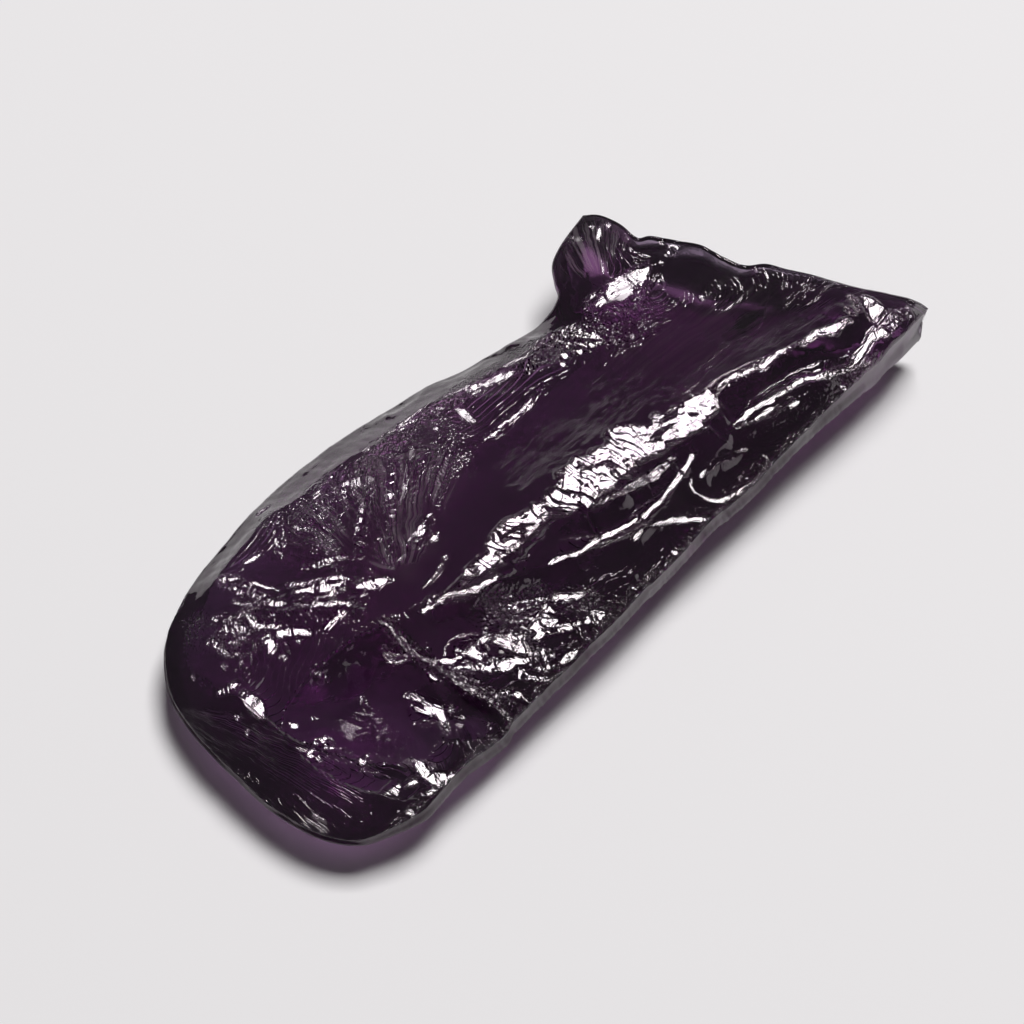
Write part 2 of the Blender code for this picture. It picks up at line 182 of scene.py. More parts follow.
# height of the thin rim, and how much steeper the bevel is, at shares of the rim's length
THIN_RIM_STOPS = [0, 0.17, 0.34, 0.5, 0.64, 0.78, 0.85, 1]
THIN_RIM_HEIGHTS = [2.7, 2.4, 2.3, 2.25, 2.4, 2.9, 3.5, 5]
STEEPER_STOPS = [0, 0.15, 0.3]
STEEPER_BEVEL = [2.2, 1.6, 1]
FAULT_LINE = [(-11.5, -1.2), (-11.8, -3.0), (-11.7, -5.4), (-11.4, -9.4)]
FAULT_DROP = 0.5
FAULT_WIDTH = 0.5
FAULT_REACH = 4.0
FAULT_FADE_IN = 0.2
SHEET_SLACK = 0.05           # how freely the face may miss its spots
DISH_RIM = 1.08              # where a dish runs out, in half widths, and how blunt its
DISH_BLUNT = 0.0064          # deepest point is
BEVEL_ENDS = 0.8             # share of the thin rim where the bevel stops


def along_line(line, x, y, pieces=24):
    """Distance from a line, positive on its left, and the share of its length passed."""
    points = curve_through(line, pieces + 1)
    nearest = np.full(x.shape, np.inf)
    distance = np.zeros(x.shape)
    share = np.zeros(x.shape)
    for i, (start, end) in enumerate(zip(points, points[1:])):
        run = end - start
        t = np.clip(((x - start[0]) * run[0] + (y - start[1]) * run[1]) / (run @ run), 0, 1)
        gap_x = x - start[0] - t * run[0]
        gap_y = y - start[1] - t * run[1]
        gap = np.hypot(gap_x, gap_y)
        closer = gap < nearest
        nearest = np.where(closer, gap, nearest)
        left = np.sign(run[0] * gap_y - run[1] * gap_x)
        distance = np.where(closer, gap * left, distance)
        share = np.where(closer, (i + t) / pieces, share)
    return distance, share


def beside(line, x, y, reach):
    """Which points lie inside a line's box, widened by reach."""
    low = np.min(line, axis=0) - reach
    high = np.max(line, axis=0) + reach
    return (x > low[0]) & (x < high[0]) & (y > low[1]) & (y < high[1])


def crest(x, y, line, height, reach_left, reach_right, roundness, fade_in, fade_out):
    """A ridge where two hollow shells meet: concave on both flanks."""
    near = beside(line, x, y, max(reach_left, reach_right) + roundness)
    distance, share = along_line(line, x[near], y[near])
    reach = np.where(distance > 0, reach_left, reach_right)
    away = (np.hypot(distance, roundness) - roundness) / reach
    fade = smooth_step(0, fade_in, share) * (1 - smooth_step(1 - fade_out, 1, share))
    raised = np.zeros(x.shape)
    raised[near] = height * np.clip(1 - away, 0, 1) ** 2 * fade
    return raised


def scar(x, y, centre, turn, half_length, half_width, depth):
    """Depth of a dished flake scar, zero outside its edge."""
    angle = np.radians(turn)
    across_x = x - centre[0]
    across_y = y - centre[1]
    p = (across_x * np.cos(angle) + across_y * np.sin(angle)) / half_length
    q = (across_y * np.cos(angle) - across_x * np.sin(angle)) / half_width
    return depth * np.clip(1 - p * p - q * q, 0, None)


def dish(x, y, centre, turn, ahead, behind, left, right, depth):
    """Depth of a steep-sided scar, deepest off its middle, with hardly any level floor."""
    angle = np.radians(turn)
    across_x = x - centre[0]
    across_y = y - centre[1]
    p = across_x * np.cos(angle) + across_y * np.sin(angle)
    q = across_y * np.cos(angle) - across_x * np.sin(angle)
    p = p / np.where(p > 0, ahead, behind)
    q = q / np.where(q > 0, left, right)
    return depth * np.clip(DISH_RIM - np.sqrt(p * p + q * q + DISH_BLUNT), 0, None)


def sheet_through(spots):
    """A thin bent plate through the spot heights, as a function of x and y."""
    spots = np.asarray(spots, float)
    count = len(spots)

    def bend(square):
        return 0.5 * square * np.log(np.maximum(square, 1e-12))

    gaps = ((spots[:, None, :2] - spots[None, :, :2]) ** 2).sum(-1)
    system = np.zeros((count + 3, count + 3))
    system[:count, :count] = bend(gaps) + SHEET_SLACK * np.eye(count)
    system[:count, count] = 1
    system[:count, count + 1:] = spots[:, :2]
    system[count:, :count] = system[:count, count:].T
    weights = np.linalg.solve(system, np.r_[spots[:, 2], 0, 0, 0])

    def height(x, y):
        z = weights[count] + weights[count + 1] * x + weights[count + 2] * y
        for (spot_x, spot_y, _), weight in zip(spots, weights):
            z = z + weight * bend((x - spot_x) ** 2 + (y - spot_y) ** 2)
        return z

    return height


base_sheet = sheet_through(SPOT_HEIGHTS)


def big_form(x, y):
    """Height of the fracture face before its fine relief."""
    z = base_sheet(x, y)
    for line, *shape in CRESTS.values():
        z = z + crest(x, y, line, *shape)
    for centre, turn, half_length, half_width, depth in SCARS.values():
        z = z - scar(x, y, centre, turn, half_length, half_width, depth)
    z = z - dish(x, y, *BOWL) - dish(x, y, *FAR_HOLLOW)
    distance, share = along_line(FAULT_LINE, x, y)
    low_side = smooth_step(FAULT_WIDTH / 2, -FAULT_WIDTH / 2, distance)
    fade = smooth_step(FAULT_REACH, 0, np.abs(distance)) * smooth_step(0, FAULT_FADE_IN, share)
    return z - FAULT_DROP * low_side * fade


# ---------------------------------------------------------------- the stone: fine relief
# Conchoidal breaks leave ripples, hackles and thin ridges, small level treads that catch
# the light, and crushed bands of tiny facets. The relief is cut into the mesh; marks on
# the same points tell the glass where its finest lines go.
LATTICE_SIZE = 64
LATTICE = np.random.default_rng(31).uniform(-1, 1, (6, LATTICE_SIZE, LATTICE_SIZE))
LEVEL = (0.027, 0.167)       # slope along X and Y that mirrors the softbox
SEAT = (0.077, 0.097)        # slope of the treads that are cut into the mesh
TREAD = 0.12                 # height of one step along a glinting tread
RISER = 0.3                  # share of a step that goes up, the rest lying level
SPLINTER_SCATTER = 0.45      # how far splinters lie off an even grid
SPLINTER_STEP = 0.3          # how much one stands above the next


def hills(x, y, layer):
    """Smooth hills and dips between -1 and 1, one unit apart."""
    column = np.floor(x).astype(int)
    row = np.floor(y).astype(int)
    s = x - column
    t = y - row
    s = s * s * (3 - 2 * s)
    t = t * t * (3 - 2 * t)
    table = LATTICE[layer]
    here = column % LATTICE_SIZE
    beyond = (column + 1) % LATTICE_SIZE
    near, far = (table[line % LATTICE_SIZE, here] * (1 - s) + table[line % LATTICE_SIZE, beyond] * s
                 for line in (row, row + 1))
    return near * (1 - t) + far * t


def splinters(x, y, slope):
    """Small flat facets at odd angles, one unit apart."""
    column = np.floor(x).astype(int)
    row = np.floor(y).astype(int)
    nearest = np.full(x.shape, np.inf)
    height = np.zeros(x.shape)
    for step_x in (-1, 0, 1):
        for step_y in (-1, 0, 1):
            place = (row + step_y) % LATTICE_SIZE, (column + step_x) % LATTICE_SIZE
            gap_x = x - column - step_x - 0.5 - SPLINTER_SCATTER * LATTICE[1][place]
            gap_y = y - row - step_y - 0.5 - SPLINTER_SCATTER * LATTICE[2][place]
            gap = np.hypot(gap_x, gap_y)
            plane = slope * (LATTICE[3][place] * gap_x + LATTICE[4][place] * gap_y
                             + SPLINTER_STEP * LATTICE[5][place])
            height = np.where(gap < nearest, plane, height)
            nearest = np.minimum(gap, nearest)
    return height


def stairs(height):
    """Height gathered into level steps."""
    whole = np.floor(height / TREAD)
    return TREAD * (whole + smooth_step(1 - RISER, 1, height / TREAD - whole))


# thin ridges: line, height, reach left, reach right, roundness
RIDGES = [
    ([(-10.1, -2.1), (-8.9, -2.8), (-7.6, -3.5), (-5.8, -4.3), (-4.5, -4.7)],
     0.25, 0.8, 0.6, 0.16),
    # lip between the rounded end and its bowl
    ([(-19.8, 5.0), (-19.4, 3.2), (-19.4, 1.3), (-19.3, -0.4), (-18.8, -2.2), (-18.0, -4.4),
      (-16.9, -6.2), (-15.6, -7.8)], 0.40, 1.6, 0.9, 0.18),
    # toward the tip
    ([(9.0, -7.2), (11.2, -7.4), (12.7, -7.9), (13.5, -8.3), (14.6, -8.9), (16.0, -9.4)],
     0.2, 0.7, 0.6, 0.16),
    # rims of the two scars at the wall
    ([(5.9, -7.2), (5.0, -7.4), (4.6, -7.9), (5.2, -8.6), (6.5, -9.1), (7.9, -9.2)],
     0.18, 0.4, 0.5, 0.14),
    ([(5.7, -7.3), (7.4, -7.8), (8.6, -8.2), (9.6, -8.8)], 0.14, 0.4, 0.35, 0.10),
    ([(0.0, -7.2), (1.4, -7.5), (2.7, -8.0), (3.6, -8.5), (3.9, -9.0)], 0.16, 0.4, 0.35, 0.12),
    # ribs of the veiled part
    ([(-1.2, 6.4), (-3.0, 5.0), (-4.6, 3.9), (-6.2, 2.5), (-8.4, 0.9)], 0.2, 0.5, 0.5, 0.3),
    ([(1.3, 6.9), (-0.2, 4.9), (-2.7, 3.4), (-5.3, 2.2), (-8.2, 0.5)], 0.12, 0.5, 0.6, 0.2),
    ([(-5.0, 6.3), (-6.6, 5.4), (-8.3, 4.4), (-9.9, 3.1)], 0.16, 0.5, 0.6, 0.2),
    ([(-6.4, 8.1), (-7.9, 7.3), (-9.9, 6.1)], 0.15, 0.5, 0.5, 0.2),
]
# lines that spread from a point: apex, direction and half spread in degrees, start and
# end of their reach, lines to a degree, height
FANS = [
    ((-10.0, -0.6), 46, 26, 2.0, 9.5, 0.33, 0.035),
    ((-10.5, -0.4), 88, 22, 2.5, 9.0, 0.33, 0.035),
    ((-22.0, 9.5), -86, 16, 4.0, 19.0, 0.75, 0.030),
    ((-14.0, 2.0), -8, 9, 12.0, 32.0, 1.1, 0.022),
    ((1.0, -3.0), -9, 9, 6.0, 22.0, 0.9, 0.022),
    ((-10.5, -1.0), -62, 16, 3.0, 8.5, 0.6, 0.022),
    ((11.0, 3.2), 45, 30, 2.0, 7.0, 0.3, 0.010),
]
# ripples round a point: centre, direction and half spread, start and end, spacing, height
RIPPLES = [
    ((14.2, 6.8), -125, 32, 3.0, 8.0, 0.30, 0.034),
    ((-3.5, 3.5), 175, 30, 3.5, 7.0, 0.33, 0.018),
    ((-6.6, -4.9), -60, 70, 0.5, 2.4, 0.34, 0.012),
    ((-9.5, 0.0), 40, 8, 3.0, 9.0, 0.28, 0.012),
    ((-12.5, -1.0), -130, 40, 2.0, 6.0, 0.5, 0.010),
]
# crushed bands: line, half width, size of the splinters, their slope
CRUSHED = [
    ([(-11.8, -0.9), (-11.9, -2.6), (-11.6, -4.4), (-11.3, -6.1), (-11.0, -7.5), (-11.4, -9.0)],
     0.38, 0.22, 0.7),
    ([(-11.6, -4.4), (-11.0, -6.6), (-10.4, -8.3), (-10.1, -9.5)], 0.3, 0.2, 0.6),
    ([(-8.0, -4.2), (-7.4, -4.7), (-7.0, -5.0)], 0.9, 0.20, 0.25),
    ([(-4.6, -6.6), (-3.7, -7.6), (-3.5, -9.0)], 0.8, 0.28, 0.3),
    ([(2.6, 6.4), (5.0, 5.7), (8.0, 4.8)], 0.8, 0.28, 0.4),
    ([(-5.0, 6.8), (-3.2, 6.9), (-1.0, 6.6), (1.5, 6.3)], 0.8, 0.35, 0.35),
    ([(-17.2, 5.2), (-16.2, 4.2), (-15.4, 5.0)], 0.9, 0.38, 0.35),
    ([(-19.3, -8.0), (-15.2, -8.5), (-9.0, -8.9), (0.4, -9.2), (8.5, -9.5), (16.0, -9.9),
      (18.0, -10.0)], 0.35, 0.25, 0.5),
    ([(-8.5, -8.0), (-6.5, -8.6), (-5.0, -9.0)], 0.7, 0.35, 0.3),
]
# the shelf, a broad glinting strip along the main crest: its middle line, and along it
# half its width, how strongly rungs cross it, and how full it is
SHELF_LINE = [(-7.7, -2.6), (-6.7, -2.75), (-5.9, -2.85), (-5.0, -2.85), (-4.1, -2.85),
              (-3.3, -2.9), (-2.5, -3.0), (-1.7, -3.2), (-0.9, -3.4), (0.1, -3.65), (1.2, -3.8),
              (2.2, -3.8), (3.3, -3.9), (4.3, -4.2), (5.3, -4.7), (6.4, -5.1), (7.4, -5.4),
              (8.5, -5.5), (9.4, -5.6)]
SHELF_HALF_WIDTHS = [0.15, 0.25, 0.3, 0.62, 0.62, 0.5, 0.35, 0.7, 1.1, 1.3, 1.2, 1.0, 0.95,
                     0.85, 0.8, 0.8, 0.8, 0.6, 0.4]
SHELF_RUNGS = [0.2, 0.5, 0.3, 0.8, 0.8, 0.3, 0.2, 0.8, 1.0, 0.9, 0.6, 0.9, 0.5, 0.2, 0.1, 0.1,
               0.1, 0.1, 0.0]
SHELF_FILL = [0.9, 0.9, 0.9, 0.9, 0.9, 0.7, 0.7, 0.8, 0.8, 0.8, 1.0, 0.8, 0.9, 0.9, 0.7, 0.7,
              0.8, 1.0, 1.0]
SHELF_EDGES = (0.35, 1.5)    # width of the slope above it and below it
# treads that glint: half width, how full they are, line
GLINTS = [
    # flows at the rounded end
    (0.24, 1.4, [(-13.0, 4.8), (-12.1, 3.5), (-11.4, 3.0), (-10.8, 2.2)]),
    (0.35, 1.3, [(-13.0, 4.1), (-12.4, 3.4), (-11.9, 2.8), (-11.3, 2.4)]),
    (0.19, 1.4, [(-12.9, 3.1), (-12.4, 2.6), (-11.6, 2.2)]),
    (0.38, 1.4, [(-11.1, 1.7), (-10.5, 1.3), (-9.9, 1.0), (-9.6, 0.6)]),
    (0.13, 1.2, [(-11.9, 5.0), (-11.3, 4.3), (-10.7, 4.0), (-10.0, 3.7)]),
    (0.19, 1.3, [(-14.8, 8.1), (-14.2, 7.3)]),
    (0.08, 1.0, [(-14.2, 6.9), (-13.8, 5.9), (-13.6, 4.9)]),
    (0.12, 1.3, [(-14.3, 6.7), (-14.6, 5.8), (-14.9, 5.0)]),
    (0.24, 1.4, [(-14.3, 6.7), (-14.3, 5.7), (-14.5, 4.8), (-14.1, 4.1)]),
    (0.16, 1.6, [(-13.7, 3.6), (-12.7, 2.1), (-12.1, 1.4)]),
    (0.19, 1.6, [(-12.0, 1.3), (-12.7, 1.3), (-13.7, 1.3)]),
    (0.26, 1.4, [(-15.6, 5.2), (-15.8, 4.5), (-15.5, 3.8), (-15.2, 2.9)]),
    (0.35, 1.4, [(-16.3, 3.4), (-15.5, 3.0), (-15.1, 2.6), (-14.5, 1.9)]),
    (0.30, 1.3, [(-15.8, 3.2), (-16.5, 2.7)]),
    (0.16, 1.4, [(-14.7, 7.0), (-14.9, 6.3)]),
    (0.13, 1.3, [(-15.4, 6.3), (-15.0, 5.3), (-15.7, 5.5), (-16.3, 5.5)]),
    (0.35, 1.3, [(-16.6, 6.5), (-16.5, 5.6)]),
    (0.38, 1.3, [(-17.1, 5.7), (-16.4, 5.1)]),
    (0.38, 1.3, [(-16.4, 5.1), (-16.5, 4.4)]),
    (0.12, 1.3, [(-17.4, 4.9), (-16.5, 4.3)]),
    (0.10, 1.2, [(-17.8, 5.9), (-17.7, 4.5), (-17.3, 3.7)]),
    # veiled part
    (0.39, 0.9, [(-6.1, 6.8), (-5.3, 5.9)]),
    (0.22, 0.9, [(-6.2, 6.3), (-6.8, 5.4)]),
    (0.13, 1.0, [(-6.6, 5.3), (-7.7, 4.7), (-8.7, 4.1)]),
    (0.10, 1.0, [(-6.0, 7.3), (-6.9, 6.4), (-7.6, 5.7)]),
    (0.17, 0.8, [(-6.2, 7.9), (-7.3, 7.5), (-8.1, 7.5)]),
    (0.17, 1.2, [(-4.1, 7.8), (-3.9, 7.4)]),
    (0.11, 1.1, [(-11.2, 7.3), (-11.9, 6.3)]),
    (0.08, 1.2, [(-13.3, 7.7), (-12.4, 7.4)]),
    (0.17, 1.1, [(-10.2, 9.6), (-9.6, 9.4)]),
    (0.08, 0.9, [(-7.3, 1.5), (-6.3, 1.6), (-5.2, 1.8)]),
    (0.22, 0.8, [(-6.8, 0.6), (-5.8, 0.5)]),
    (0.11, 0.9, [(-7.0, -0.8), (-8.2, -1.2), (-9.2, -1.1)]),
    (0.13, 0.8, [(-5.7, 3.6), (-4.7, 4.1), (-3.6, 4.8), (-2.1, 5.9)]),
    (0.22, 0.9, [(1.1, 5.5), (1.0, 4.2)]),
    (0.11, 1.0, [(-0.1, 6.6), (0.7, 6.2)]),
    (0.17, 0.9, [(1.6, 6.7), (2.6, 5.9)]),
    (0.22, 0.9, [(2.3, 5.5), (3.4, 5.3), (4.4, 5.1)]),
    (0.22, 0.8, [(4.9, 5.4), (5.9, 5.1), (7.5, 5.1)]),
    # speckled places by the thin edge
    (0.30, 0.60, [(1.4, 6.6), (3.1, 5.6), (5.1, 4.5)]),
    (0.90, 0.45, [(8.4, 5.0), (8.8, 3.8), (9.4, 2.4)]),
    (0.35, 0.42, [(0.5, 3.0), (2.9, 2.6), (5.3, 2.8)]),
    (0.30, 0.55, [(-3.4, 7.8), (-1.6, 7.2), (0.4, 6.9)]),
    (0.25, 0.5, [(5.4, 5.3), (7.2, 4.9), (8.2, 4.9)]),
    # glittering hollow, and the steps below it
    (0.35, 1.9, [(-8.5, -5.3), (-8.2, -6.3), (-7.4, -6.7), (-6.5, -6.7), (-5.7, -6.5), (-5.0, -6.0)]),
    (0.18, 1.7, [(-8.4, -5.8), (-7.6, -6.3), (-6.7, -6.4), (-6.0, -6.3), (-5.5, -6.2)]),
    (0.20, 1.7, [(-6.9, -5.0), (-5.9, -5.6), (-5.1, -6.0)]),
    (0.14, 1.5, [(-7.8, -5.8), (-6.9, -6.3), (-6.2, -6.3)]),
    (0.14, 1.5, [(-7.3, -5.5), (-6.8, -5.7), (-6.4, -6.1)]),
    (0.44, 1.9, [(-5.3, -6.5), (-6.2, -7.0)]),
    (0.15, 1.6, [(-7.1, -6.9), (-6.1, -7.1), (-5.4, -7.5), (-4.7, -8.0)]),
    (0.19, 1.6, [(-5.2, -6.2), (-4.6, -6.2), (-4.2, -6.5), (-3.6, -7.1)]),
    (0.39, 1.5, [(-4.5, -8.2), (-3.8, -8.6)]),
    (0.12, 1.6, [(-10.3, -4.5), (-9.7, -4.7), (-9.2, -4.9), (-8.6, -5.1)]),
    (0.30, 1.5, [(-10.1, -4.5), (-9.7, -5.1), (-9.5, -5.7)]),
    (0.09, 1.5, [(-11.7, -3.9), (-10.9, -4.5), (-10.2, -4.8)]),
    (0.30, 1.5, [(-9.9, -5.2), (-9.6, -6.0), (-9.4, -6.7)]),
    (0.35, 1.5, [(-9.9, -6.2), (-9.0, -6.8), (-8.4, -7.2)]),
    (0.39, 1.6, [(-8.3, -6.6), (-7.2, -7.2)]),
    (0.44, 1.6, [(-7.6, -7.5), (-7.0, -8.0)]),
    (0.18, 1.5, [(-8.0, -7.0), (-8.3, -7.5)]),
    (0.22, 1.5, [(-8.2, -8.0), (-7.5, -8.4)]),
    (0.35, 1.6, [(-9.0, -7.3), (-8.9, -7.8)]),
    (0.15, 1.5, [(-9.2, -7.5), (-8.7, -8.2), (-8.3, -8.8)]),
    (0.18, 1.5, [(-11.2, -4.8), (-10.4, -5.6), (-10.0, -6.3)]),
    (0.18, 1.5, [(-7.1, -8.6), (-6.1, -8.7)]),
    (0.12, 1.5, [(-10.8, -7.3), (-10.2, -7.9), (-9.7, -8.7)]),
    (0.18, 1.5, [(-12.7, -1.5), (-12.7, -1.9), (-12.1, -2.8)]),
    # the fault
    (0.16, 0.85, [(-11.8, -1.0), (-11.9, -2.6), (-11.7, -4.0)]),
    (0.16, 0.85, [(-11.7, -4.0), (-11.5, -5.6), (-11.2, -7.2), (-11.3, -8.6)]),
    (0.08, 0.6, [(-11.6, -4.4), (-11.0, -6.6), (-10.4, -8.3)]),
    # main crest and wall side
    (0.09, 1.4, [(-10.2, -2.0), (-9.1, -2.6), (-8.2, -3.1), (-7.5, -3.5), (-6.4, -3.9)]),
    (0.12, 0.9, [(-9.8, -2.0), (-9.1, -2.1)]),
    (0.07, 0.9, [(-9.5, -2.2), (-8.9, -2.6), (-8.3, -3.0)]),
    (0.19, 0.9, [(-5.9, -3.1), (-4.9, -3.3), (-3.9, -3.4), (-2.8, -3.5)]),
    (0.11, 1.4, [(0.0, -4.8), (1.0, -5.3), (1.8, -5.5), (2.7, -5.8), (3.7, -6.0), (5.1, -6.1)]),
    (0.12, 0.9, [(0.1, -4.3), (0.9, -4.7), (1.7, -5.2)]),
    (0.07, 1.4, [(-3.8, -5.1), (-2.5, -5.7), (-1.5, -6.0), (-0.3, -6.2), (1.5, -6.8)]),
    (0.08, 1.4, [(1.5, -6.8), (2.5, -7.0), (3.4, -6.9), (4.4, -6.8), (5.9, -6.8)]),
    (0.06, 1.4, [(5.0, -7.3), (4.7, -7.7), (4.9, -8.3), (5.4, -8.8), (6.5, -9.2), (7.9, -9.5)]),
    (0.06, 1.4, [(5.7, -7.5), (6.8, -7.6), (7.9, -7.9), (8.8, -8.2)]),
    (0.06, 1.4, [(1.5, -7.5), (2.7, -8.0), (3.5, -8.5), (4.2, -9.1)]),
    (0.09, 0.9, [(0.4, -7.3), (1.0, -7.4)]),
    (0.19, 1.0, [(-0.5, -8.8), (-0.3, -9.4)]),
    (0.17, 1.4, [(9.3, -5.5), (10.4, -5.6), (11.5, -5.9), (12.5, -6.3), (13.4, -6.4), (14.3, -6.8)]),
    (0.22, 1.4, [(14.9, -7.1), (16.0, -7.3), (16.9, -7.7), (17.8, -8.1)]),
    (0.08, 1.4, [(8.9, -7.1), (10.3, -7.2), (11.6, -7.6), (12.7, -8.0)]),
    (0.14, 1.4, [(12.5, -7.9), (13.5, -8.2), (14.3, -8.7), (15.3, -9.2), (16.5, -9.6)]),
    (0.34, 1.8, [(16.2, -9.5), (17.5, -9.4), (18.4, -9.2), (19.2, -9.5), (20.3, -9.5)]),
    (0.06, 0.7, [(9.0, -7.3), (10.4, -7.7), (11.7, -8.0)]),
    (0.09, 0.7, [(12.0, -8.4), (12.8, -8.7)]),
    (0.17, 0.8, [(16.5, -9.8), (17.3, -10.0)]),
    # tip
    (0.16, 1.2, [(19.4, -7.2), (18.7, -8.0)]),
    (0.75, 1.5, [(19.9, -7.6), (19.6, -8.6), (19.6, -9.4)]),
    (0.30, 1.6, [(19.9, -9.0), (20.7, -9.3), (21.4, -9.4)]),
    (0.20, 0.8, [(18.5, -7.3), (18.2, -8.1)]),
    # leaf and nub
    (0.70, 0.72, [(11.1, 3.9), (12.2, 3.6), (13.3, 3.4), (14.6, 3.4)]),
    (0.14, 0.6, [(10.8, 4.7), (11.9, 4.3)]),
    (0.11, 0.7, [(14.0, 2.9), (13.3, 2.7), (12.5, 2.5), (12.0, 2.2)]),
    (0.17, 0.9, [(13.6, 7.8), (13.8, 7.2)]),
    (0.13, 1.0, [(15.0, 6.9), (14.3, 6.5)]),
    (0.28, 1.0, [(15.9, 3.0), (16.5, 2.7)]),
    (0.09, 0.8, [(8.5, 3.7), (8.8, 2.5)]),
    # lip of the bowl, and its far side
    (0.25, 0.9, [(-19.6, 3.5), (-19.1, 3.1), (-18.7, 2.9)]),
    (0.36, 1.0, [(-19.1, 2.3), (-19.2, 1.6), (-19.4, 0.6)]),
    (0.36, 1.0, [(-19.3, -2.5), (-18.7, -2.5), (-18.3, -2.5), (-18.4, -3.1)]),
    (0.17, 1.0, [(-18.1, -4.8), (-17.5, -4.6)]),
    (0.31, 0.9, [(-13.4, -3.6), (-13.2, -4.3), (-13.2, -4.9), (-13.1, -5.5), (-13.6, -6.5)]),
    (0.11, 0.9, [(-13.5, -4.5), (-13.4, -5.3)]),
    (0.17, 0.6, [(-13.0, -5.4), (-12.3, -6.1)]),
    (0.39, 1.0, [(-16.2, -6.4), (-16.2, -7.1), (-16.3, -7.7), (-15.8, -8.3), (-15.0, -8.7)]),
    (0.09, 1.0, [(-15.1, -8.6), (-14.3, -8.7), (-13.4, -8.7)]),
    (0.11, 0.9, [(-17.5, -7.2), (-16.8, -7.4)]),
    (0.10, 0.9, [(-17.3, -8.0), (-16.5, -8.4)]),
    (0.13, 0.9, [(-21.3, -4.6), (-21.2, -5.2)]),
]
# dark gaps in the shelf: half width, line
SHELF_HOLES = [
    (0.12, [(6.0, -4.4), (6.6, -4.6), (7.1, -4.7)]),
    (0.10, [(4.9, -4.6), (5.7, -4.8), (6.4, -5.0)]),
    (0.10, [(7.3, -5.3), (7.8, -5.6)]),
    (0.08, [(1.0, -3.2), (1.9, -3.6), (2.6, -3.9)]),
    (0.10, [(-1.9, -3.0), (-1.6, -3.6), (-1.3, -4.2)]),
    (0.08, [(-4.2, -2.6), (-3.4, -2.9), (-2.9, -3.3)]),
]
# glinting ribs crossed by rungs: half width, fullness, line
RIBBED = [
    (0.30, 0.62, [(-3.8, 5.9), (-4.6, 5.2), (-5.4, 4.5), (-6.2, 3.6), (-6.9, 2.9)]),
    (0.22, 0.55, [(-9.6, 6.9), (-9.3, 5.9), (-9.3, 5.0)]),
    (0.30, 0.60, [(-7.6, 1.2), (-6.6, 1.4), (-5.8, 1.8)]),
]
# single glinting facets: place and size
SPARKS = [
    (-18.7, -0.8, 0.19), (-15.9, 0.1, 0.17), (-15.6, -0.3, 0.09), (-17.8, 3.6, 0.11),
    (-18.5, 4.2, 0.11), (-16.3, 2.0, 0.11), (-18.0, -3.6, 0.11), (-18.0, -4.0, 0.11),
    (-19.2, -2.9, 0.11), (-10.1, 6.8, 0.17), (-9.9, 6.3, 0.11), (-11.2, 6.8, 0.11),
    (-6.5, 3.4, 0.17), (-8.1, 2.8, 0.11), (9.3, 3.7, 0.14), (8.2, 2.8, 0.14), (7.5, 3.3, 0.17),
    (7.0, 3.0, 0.11), (15.2, 6.6, 0.14), (14.7, 7.3, 0.11), (16.1, 3.5, 0.11), (15.4, 2.9, 0.11),
    (15.0, -0.2, 0.11), (10.6, 1.1, 0.11), (-1.5, -8.9, 0.11), (1.7, -9.0, 0.13),
    (15.1, -9.8, 0.13), (-18.3, -8.2, 0.18), (-22.3, -2.1, 0.09), (-20.1, 1.8, 0.11),
    (-20.3, 0.9, 0.11), (-19.7, 5.3, 0.09), (19.4, -6.9, 0.13), (-1.5, 3.1, 0.09),
    (-0.6, 5.5, 0.11),
]
# glitter: line, half width, how strong
GLITTER = [
    ([(-5.0, 6.9), (-3.6, 6.9), (-2.3, 6.6), (-0.6, 6.6), (1.2, 6.3)], 0.5, 1.0),
    ([(-1.6, 3.2), (-0.5, 4.5), (1.0, 5.6), (3.6, 5.6)], 1.4, 0.55),
    ([(-4.8, 5.6), (-3.6, 4.4), (-2.7, 3.3)], 0.8, 0.6),
    ([(3.6, 5.2), (6.5, 4.4), (9.5, 3.4)], 1.3, 0.7),
    ([(10.9, 3.9), (12.4, 3.6), (14.4, 3.4)], 0.9, 0.7),
    ([(-10.8, 8.4), (-9.0, 7.6), (-7.4, 7.6)], 0.9, 0.5),
    ([(-10.4, 7.0), (-10.0, 5.6), (-10.6, 4.4)], 0.8, 0.5),
    ([(-9.5, 6.0), (-6.0, 5.6), (-2.5, 5.2)], 2.4, 0.3),
    ([(-7.4, -4.6), (-6.6, -5.4), (-5.6, -5.9)], 1.2, 0.9),
    ([(-4.4, -6.6), (-3.5, -7.6), (-3.0, -8.8)], 0.9, 0.6),
    ([(10.8, -8.5), (13.0, -8.9), (17.0, -9.7)], 0.7, 0.4),
    ([(9.6, -7.7), (11.6, -8.0)], 0.6, 0.3),
    ([(-17.5, 7.2), (-17.6, 5.4), (-17.0, 4.2)], 1.2, 0.35),
]
# milky or brownish parts: centre, radius, how strong
VEILS = [
    ((-4.5, 5.0), 4.5, 1.0), ((-9.0, 5.8), 3.0, 0.6), ((0.5, 5.5), 2.5, 0.8),
    ((5.0, 5.5), 2.5, 0.6), ((-8.0, 1.5), 2.6, 0.9),
    ((-7.0, -5.3), 1.4, 0.25), ((12.6, 3.4), 1.8, 0.6), ((13.6, 6.6), 2.4, 1.0),
    ((-4.0, -7.6), 1.4, 0.4), ((-12.0, -5.0), 1.0, 0.4), ((4.0, 0.5), 4.0, 0.06),
    ((11.0, 0.0), 5.0, 0.25), ((15.0, -2.0), 4.0, 0.35), ((11.2, -7.9), 2.0, 0.4),
    ((3.0, -7.4), 1.4, 0.35), ((-17.5, -6.0), 2.0, 0.2),
]


